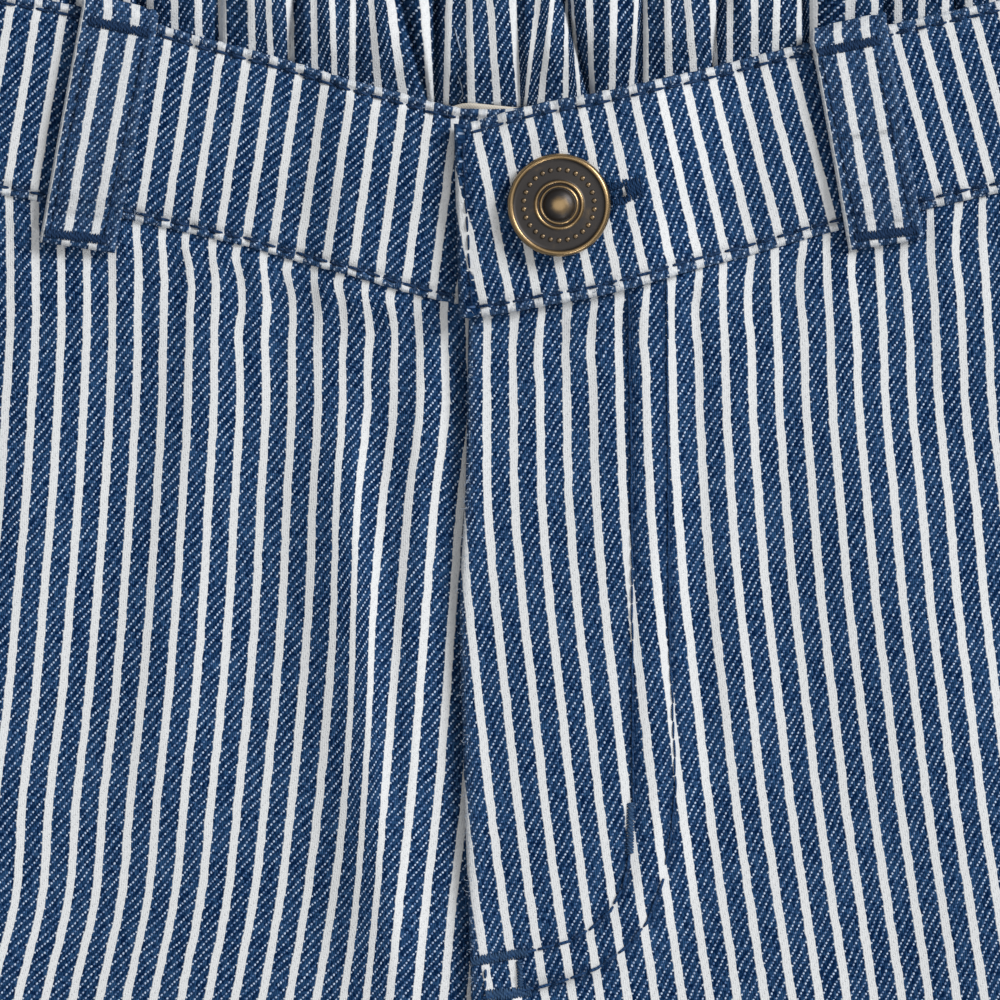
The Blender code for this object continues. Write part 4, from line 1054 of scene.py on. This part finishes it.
def denim(name, painted_shade_scale=1):
    """Right-hand twill, three up and one down, of indigo warp with a white cord at each stripe."""
    g = Nodes(name)
    k, v, _ = g.split(g.node("ShaderNodeUVMap", uv_map="cloth"))
    flat = g.join(k * PITCH, v)
    # The yarns wander a little.
    k = k + (g.noise(flat, 0.35, 1) - 0.5) * 0.1
    v = v + (g.noise(g.join(k * 7, v, 4), 0.2, 1) - 0.5) * 1.1
    across, along = k * WARPS, v / PICK
    i, j = g.math("FLOOR", across), g.math("FLOOR", along)
    fa, fb = g.math("FRACT", across) - 0.5, g.math("FRACT", along) - 0.5
    turn = g.math("FLOORED_MODULO", j - i, TWILL)
    is_dot = g.math("LESS_THAN", turn, 0.5)
    # The value read here: above 0 the cloth is worn and faded, below 0 it is matted beside stitching and carries
    # painted shade.
    worn_and_shaded = g.attribute("wear")
    chance = g.node("ShaderNodeTexWhiteNoise", {"Vector": g.join(i, j, 2)}, "Value", noise_dimensions="3D")
    # Each weft float is a round bead on the twill line.
    wide, tall = PITCH / WARPS, PICK
    slant = math.hypot(wide, tall)
    down_line = fa * (wide * wide / slant) + fb * (tall * tall / slant)
    off_line = fa * (wide * tall / slant) - fb * (wide * tall / slant)
    dot = is_dot * g.ramp((down_line / 0.17) ** 2 + (off_line / 0.165) ** 2, 1.6, 0)
    # Indigo warp: streaks along each yarn, finer mottling, and painted shade in the gaps between yarns.
    streak = g.grain(i * 5.3, v * 0.16, 1)
    mottle = g.grain(i * 3.7, v * 1.6, 5)
    cloud = g.noise(flat, 0.09, 3)
    level = (streak - 0.5) * 1.1 + (mottle - 0.5) * 2 + (cloud - 0.5) * 0.8 + (chance - 0.5) * 0.85
    level = g.math("ADD", level, 0.42, clamp=True)
    # A scale below 1 on these blues darkens them as painted shade.
    blue = g.mix(level, rgb(4 * painted_shade_scale, 33 * painted_shade_scale, 72 * painted_shade_scale), rgb(46 * painted_shade_scale, 84 * painted_shade_scale, 128 * painted_shade_scale))
    # Painted shade: darker in the gaps between yarns and at the ends of the floats.
    gap = g.ramp(abs(fa), 0.28, 0.5, 1, 0.66)
    float_end_shade = g.ramp(abs(turn + fb - 2), 1.1, 1.7, 1, 0.7)
    # Painted shade of the ribs that stand up between the twill lines: their sides are darkened towards near-black
    # blue, as are the gaps between yarns and the ends of the floats.
    rib = g.math("PINGPONG", (along - across) / TWILL, 0.5)
    blue = g.mix(gap * float_end_shade * g.ramp(rib, 0.05, 0.45, 1, 0.9), rgb(0, 14, 38), blue)
    weft = g.mix(g.ramp(chance, -0.2, 1.05), rgb(82, 118, 168), rgb(206, 224, 250))
    # Beside a stitched line the cloth is matted, with few dots and a paler streak here and there, and its blue is
    # darkened as painted shade of the stitched groove.
    matting_and_shade = g.math("MULTIPLY", worn_and_shaded, -1, clamp=True)
    dot = dot * (1 - matting_and_shade * 0.85)
    wisp = g.ramp(g.grain(k * 14, v * 0.9, 7), 0.56, 0.72, 0, 0.6)
    blue = g.mix(matting_and_shade * 0.4, blue, rgb(6, 24, 54))
    blue = g.mix(matting_and_shade * wisp, blue, rgb(84, 112, 150))
    colour = g.mix(dot, blue, weft)
    # White cords, toothed where the white weft joins them.
    near = g.math("FRACT", k + 0.5) - 0.5
    shaggy = g.grain(g.math("SIGN", near) * 5, v * 1.3, g.math("FLOOR", k + 0.5))
    off = abs(near) * PITCH + (shaggy - 0.5) * 0.22
    spike = is_dot * g.ramp(abs(fb), 0.42, 0) * g.math("GREATER_THAN", off, 0.625) * 0.22
    cord = g.ramp(off - spike, 0.665, 0.555)
    fibre = g.grain(k * 40, v * 1.6, 3) * 0.6 + g.grain(k * 16, v * 3.4, 6, 1) * 0.4
    colour = g.mix(cord, colour, g.mix(g.ramp(fibre, 0.28, 0.7), rgb(220, 223, 226), rgb(237, 239, 240)))
    # Worn cloth is faded in patches.
    patch = g.grain(k * 9, v * 2.2, 8, 3)
    fade = g.math("MULTIPLY", worn_and_shaded, g.ramp(patch, 0.35, 0.7), clamp=True)
    colour = g.mix(fade * 0.55, colour, rgb(104, 130, 160))
    height = (1 - (fa * 2) ** 2) * (1 - cord * 0.75) * (1 - is_dot * 0.75)
    height = height + dot * 0.9 + cord * (0.85 + fibre * 0.15)
    g.bump(height, 0.00007, 0.85)
    return g.finish(colour, g.ramp(cord, 0, 1, 0.82, 0.9), specular=0.08, sheen=0.02, tint=(0.3, 0.6, 1, 1))


def thread_material(name, dark, light):
    g = Nodes(name)
    place = g.object_place()
    inputs = {"Vector": place, "Scale": 900, "Distortion": 1.5}
    twist = g.node("ShaderNodeTexWave", inputs, "Fac", wave_type="BANDS", bands_direction="DIAGONAL")
    mixed = g.math("ADD", twist * 0.5, g.noise(place, 700) * 0.6, clamp=True)
    g.bump(twist, 0.00006, 0.7)
    colour = g.mix(mixed, rgb(*dark), rgb(*light))
    return g.finish(colour, 0.7, specular=0.12, sheen=0.02, tint=(0.4, 0.7, 1, 1))


def label_material():
    g = Nodes("label_weave")
    place = g.object_place()
    x, y, _ = g.split(place)
    rib, cross = (g.math("SINE", at * (2 * math.pi / pitch)) for at, pitch in ((x, 0.0004), (y, 0.0005)))
    weave = 0.5 + rib * cross * 0.5
    g.bump(weave, 0.00005, 0.8)
    colour = g.mix(weave * 0.4 + g.noise(place, 350, 3) * 0.5, rgb(198, 188, 172), rgb(238, 232, 220))
    return g.finish(colour, 0.75, sheen=0.1)


def brass_material():
    """Antique brass: a dark patina in the hollows, rubbed bright on the raised rings."""
    g = Nodes("antique_brass")
    place = g.object_place()
    fine = g.noise(place, 900, 4, 0.6)
    rubbed = g.attribute("polish") + (g.noise(place, 190, 3) - 0.5) * 0.9 + (fine - 0.5) * 0.6
    share = g.ramp(rubbed, 0.15, 0.95)
    g.bump(fine, 0.00003, 0.6)
    colour = g.mix(share, rgb(76, 73, 72), rgb(178, 150, 110))
    return g.finish(colour, g.ramp(share, 0, 1, 0.52, 0.33), metallic=1, specular=0.5)


def floor_material():
    g = Nodes("pale_floor")
    colour = g.mix(g.noise(g.object_place(), 60, 3), rgb(228, 229, 231), rgb(238, 239, 240))
    return g.finish(colour, 0.8, specular=0.2)


# ---- the garment ----
panel_left, panel_right = (front_panel(side) for side in SEAMS)
band_left, band_right = (front_band(side) for side in SEAMS)
band_back = back_band()
back_left, back_right = (back_panel(side) for side in SEAMS)
label = inner_label()
loops = [belt_loop(*row) for row in LOOPS]
cap, shank, dots = button()

front_tree = tree_of(panel_left, panel_right, band_left, band_right)
loop_tree = tree_of(*loops)
back_tree = tree_of(band_back)

# Both edges of the waistbands, and the upper one's end.
sewn = {}
for side, start, end in ((1, 1.4, 113), (-1, -1.2, -113)):
    row = sewn["waistband_%s_stitching" % SIDE_NAMES[side]] = Thread()
    for height in (STITCH_LOW[side], BAND_HIGH - STITCH_HIGH):
        row.stitches(front_tree, band_line(side, height, start, end))
    if side > 0:
        ends = [(v, *band_spot(LAP_END, v, side)) for v in np.linspace(0.06, 0.93, 20)]
        row.stitches(front_tree, [(x + end_line(v), y) for v, x, y in ends], radius=0.17)

# The fly: two rows, heavier from the turn of the curve, with bartacks.
bars = sewn["fly_bartacks"] = Thread()
fly = sewn["fly_stitching"] = Thread()
for line, turn in ((FLY_INNER, 4), (FLY_OUTER, 6)):
    fly.stitches(front_tree, line[:turn + 1], gap=0.2, radius=0.16, sink=0.1)
    fly.stitches(front_tree, line[turn:], gap=0.4, radius=0.23, sink=0.16)
bars.bar(front_tree, (24.45, -72.2), (24.3, -79.4), 1.05)
bars.bar(front_tree, (1.4, -95.2), (9.3, -93.9), 1.35)
bars.bar(front_tree, (3.4, -100.2), (9.8, -99.6), 1.6)
fly.stitches(front_tree, [(3.3, -96.2), (3.2, -99.6)], step=1.6)
bars.bar(front_tree, (8.2, -95.2), (8.4, -98.9), 0.8)

for side in SEAMS:
    inner, outer = (leg_edge(edge, side, edge[-1][0] + HEM_STITCH) for edge in (LEG_INNER, LEG_OUTER))
    row = sewn["hem_%s_stitching" % SIDE_NAMES[side]] = Thread()
    row.stitches(front_tree, [(inner[0] + side * 0.6, inner[1]), (outer[0] - side * 0.6, outer[1])], step=3)


def hole_y(x, off):
    return band_spot(x, HOLE_V, 1)[1] + off


# The buttonhole: a dense ring of thread round the slot and a bar at its outer end.
hole = sewn["buttonhole_stitching"] = Thread()
for off in (-1, 1):
    for x in np.arange(HOLE_X[0], HOLE_X[1] + 0.3, 0.24):
        z = drop(front_tree, x, hole_y(x, off * (HOLE_HALF + 0.55)))
        shut = float(ease((x - HOLE_OPEN + 1.4) / 1))
        inner_end = (HOLE_HALF - 0.25) * (1 - shut) + 0.62 * shut
        outer_end = (HOLE_HALF + 1.05) * (1 - shut) + (1.7 + 0.12 * rng.standard_normal()) * shut
        path = []
        for t in (0, 0.2, 0.5, 0.8, 1):
            y = hole_y(x, off * (inner_end + (outer_end - inner_end) * t))
            z = drop(front_tree, x, y) if shut > 0.5 else z
            sunk = (0.3 if t in (0, 1) else 0) + (0.35 * (1 - t) * (1 - shut) if t < 0.8 else 0)
            path.append((x + 0.12 * t + 0.04 * rng.standard_normal(), y, z + 0.12 - sunk))
        hole.tube(path, 0.15, sides=6)
bar_ends = [(HOLE_X[1] + past, hole_y(HOLE_X[1], off)) for past, off in ((-0.2, 0.1), (2.1, 0.7))]
hole.bar(front_tree, *bar_ends, 3.1, spacing=0.24)

for name, foot_x, foot_y, head_x in LOOPS:
    side = 1 if foot_x > 0 else -1
    head_y = float(curve(TOPS[side], head_x))
    row = sewn[name + "_stitching"] = Thread()
    for off in (-4, 4):
        line = [(foot_x + off, foot_y + 1.5), (head_x + off, head_y - 3.2)]
        row.stitches(loop_tree, line, step=2.2, radius=0.18)
    for x, y, tilt in ((foot_x, foot_y + 1.6, side * 0.5), (head_x, head_y - 1.9, side * 0.9)):
        row.bar(loop_tree, (x - 4.4, y - tilt), (x + 4.4, y + tilt), 1.3)

denim_front = denim("denim_front")
denim_band = denim("denim_waistband")
# The gathered back waistband's inner face gets a copy of the denim with its blue a tenth darker: painted shade.
denim_back_in_shade = denim("denim_back_in_shade", 0.9)
navy = thread_material("navy_thread", (14, 32, 60), (46, 70, 106))
own_thread = {
    "buttonhole_stitching": thread_material("buttonhole_thread", (10, 28, 58), (44, 74, 114)),
    "fly_stitching": thread_material("fly_thread", (18, 42, 78), (52, 82, 122)),
    "fly_bartacks": thread_material("bartack_thread", (26, 50, 84), (68, 96, 130)),
}
pale = thread_material("loose_fibre", (96, 122, 156), (196, 206, 218))
cream = label_material()
brass = brass_material()


def dress(item, material, slot, *nodes):
    item.data.materials.append(material)
    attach(item, "root")
    if nodes:
        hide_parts(*nodes)
    return item


# Loose fibres at worn edges.
fuzz = Thread()


def fibre(x, y, long, heading=None):
    z = drop(front_tree, x, y)
    if z is None:
        return
    heading = rng.uniform(0, 2 * math.pi) if heading is None else heading + rng.normal(0, 0.5)
    length, rise, bend = (rng.uniform(*ends) for ends in ((0.5, 1.3), (0.1, 0.35), (-1.2, 1.2)))
    fuzz.hair(x, y, z - 0.02, long * length, heading, rise, bend)


for n in range(70):
    y = rng.uniform(-100, -2)
    fibre(float(curve(FLY_EDGE, y - 1.6)) + rng.uniform(0.15, 0.9), y, 0.8, math.pi)
for side, low_x, high_x in ((1, 1, 78), (-1, -68, 0)):
    for n in range(90):
        x, inset = rng.uniform(low_x, high_x), rng.uniform(0.1, 1.3) / BAND_HIGH
        fibre(*band_spot(x, 1 - inset if n % 2 else inset, side), 0.7)

# Two loose white threads on the gathered band.
for path in (((-1.2, 40.8), (-0.7, 38.8), (-0.1, 36.5)), ((-0.7, 33.9), (-0.2, 32.4), (0, 31.2), (-0.7, 30))):
    fuzz.tube([(x, y, drop(back_tree, x, y) + 0.1) for x, y in path], 0.11, sides=6, taper=0.6)

threads = {name: dress(row.make(name), own_thread.get(name, navy), "denim") for name, row in sewn.items()}
lint = dress(fuzz.make("loose_fibres"), pale, "denim")
dress(panel_left, denim_front, "denim", "front_panel_left")
dress(panel_right, denim_front, "denim", "front_panel_right")
dress(band_left, denim_band, "denim", "waistband_front_left")
dress(band_right, denim_band, "denim", "waistband_front_right")
dress(band_back, denim_back_in_shade, "denim", "waistband_back")
dress(back_left, denim_front, "denim", "back_panel_left")
dress(back_right, denim_front, "denim", "back_panel_right")
dress(label, cream, "label", "inner_label")
for item, (name, *_) in zip(loops, LOOPS):
    dress(item, denim_band, "denim", name)
for item in (cap, shank, dots):
    dress(item, brass, "button_metal", "tack_button")

# ---- floor, light and camera ----
FLOOR_HALF = 900
signs = ((-1, -1), (1, -1), (1, 1), (-1, 1))
corners = np.array([(x * FLOOR_HALF, y * FLOOR_HALF - PLAN_Y, -0.02) for x, y in signs])
floor = link_mesh("floor", corners, [(0, 1, 2, 3)])
floor.data.materials.append(floor_material())


def soft_light(name, place, size, power):
    """A square light aimed at the middle of the picture."""
    data = bpy.data.lights.new(name, "AREA")
    data.shape = "SQUARE"
    data.size = size
    data.energy = power
    item = bpy.data.objects.new(name, data)
    bpy.context.scene.collection.objects.link(item)
    item.location = place
    item.rotation_euler = (Vector(CENTRE) - Vector(place)).to_track_quat("-Z", "Y").to_euler()


CENTRE = (0.0054, 0.1906, 0)
soft_light("key_light", (2.2, 1.65, 1.8), 1.15, 90)
soft_light("fill_light", (-0.8, 0.1, 1.1), 1, 1.5)
soft_light("low_light", (0.5, -0.9, 0.7), 0.25, 3.5)
soft_light("top_light", (0.1, 0.2, 1.7), 1.2, 4)
world = bpy.data.worlds.new("studio")
world.use_nodes = True
world.node_tree.nodes["Background"].inputs[0].default_value = (1, 1, 1, 1)
world.node_tree.nodes["Background"].inputs[1].default_value = 0.18
bpy.context.scene.world = world
bpy.context.scene.view_settings.view_transform = "Standard"

SEEN = 0.1456  # width that the photograph's frame takes in, in metres
FAR = 1.6
camera_data = bpy.data.cameras.new("camera")
camera_data.sensor_width = 36
camera_data.lens = 36 * (FAR - 0.006) / SEEN
camera_data.clip_start = 0.05
camera = bpy.data.objects.new("camera", camera_data)
camera.location = (CENTRE[0], CENTRE[1], FAR)
bpy.context.scene.collection.objects.link(camera)
bpy.context.scene.camera = camera
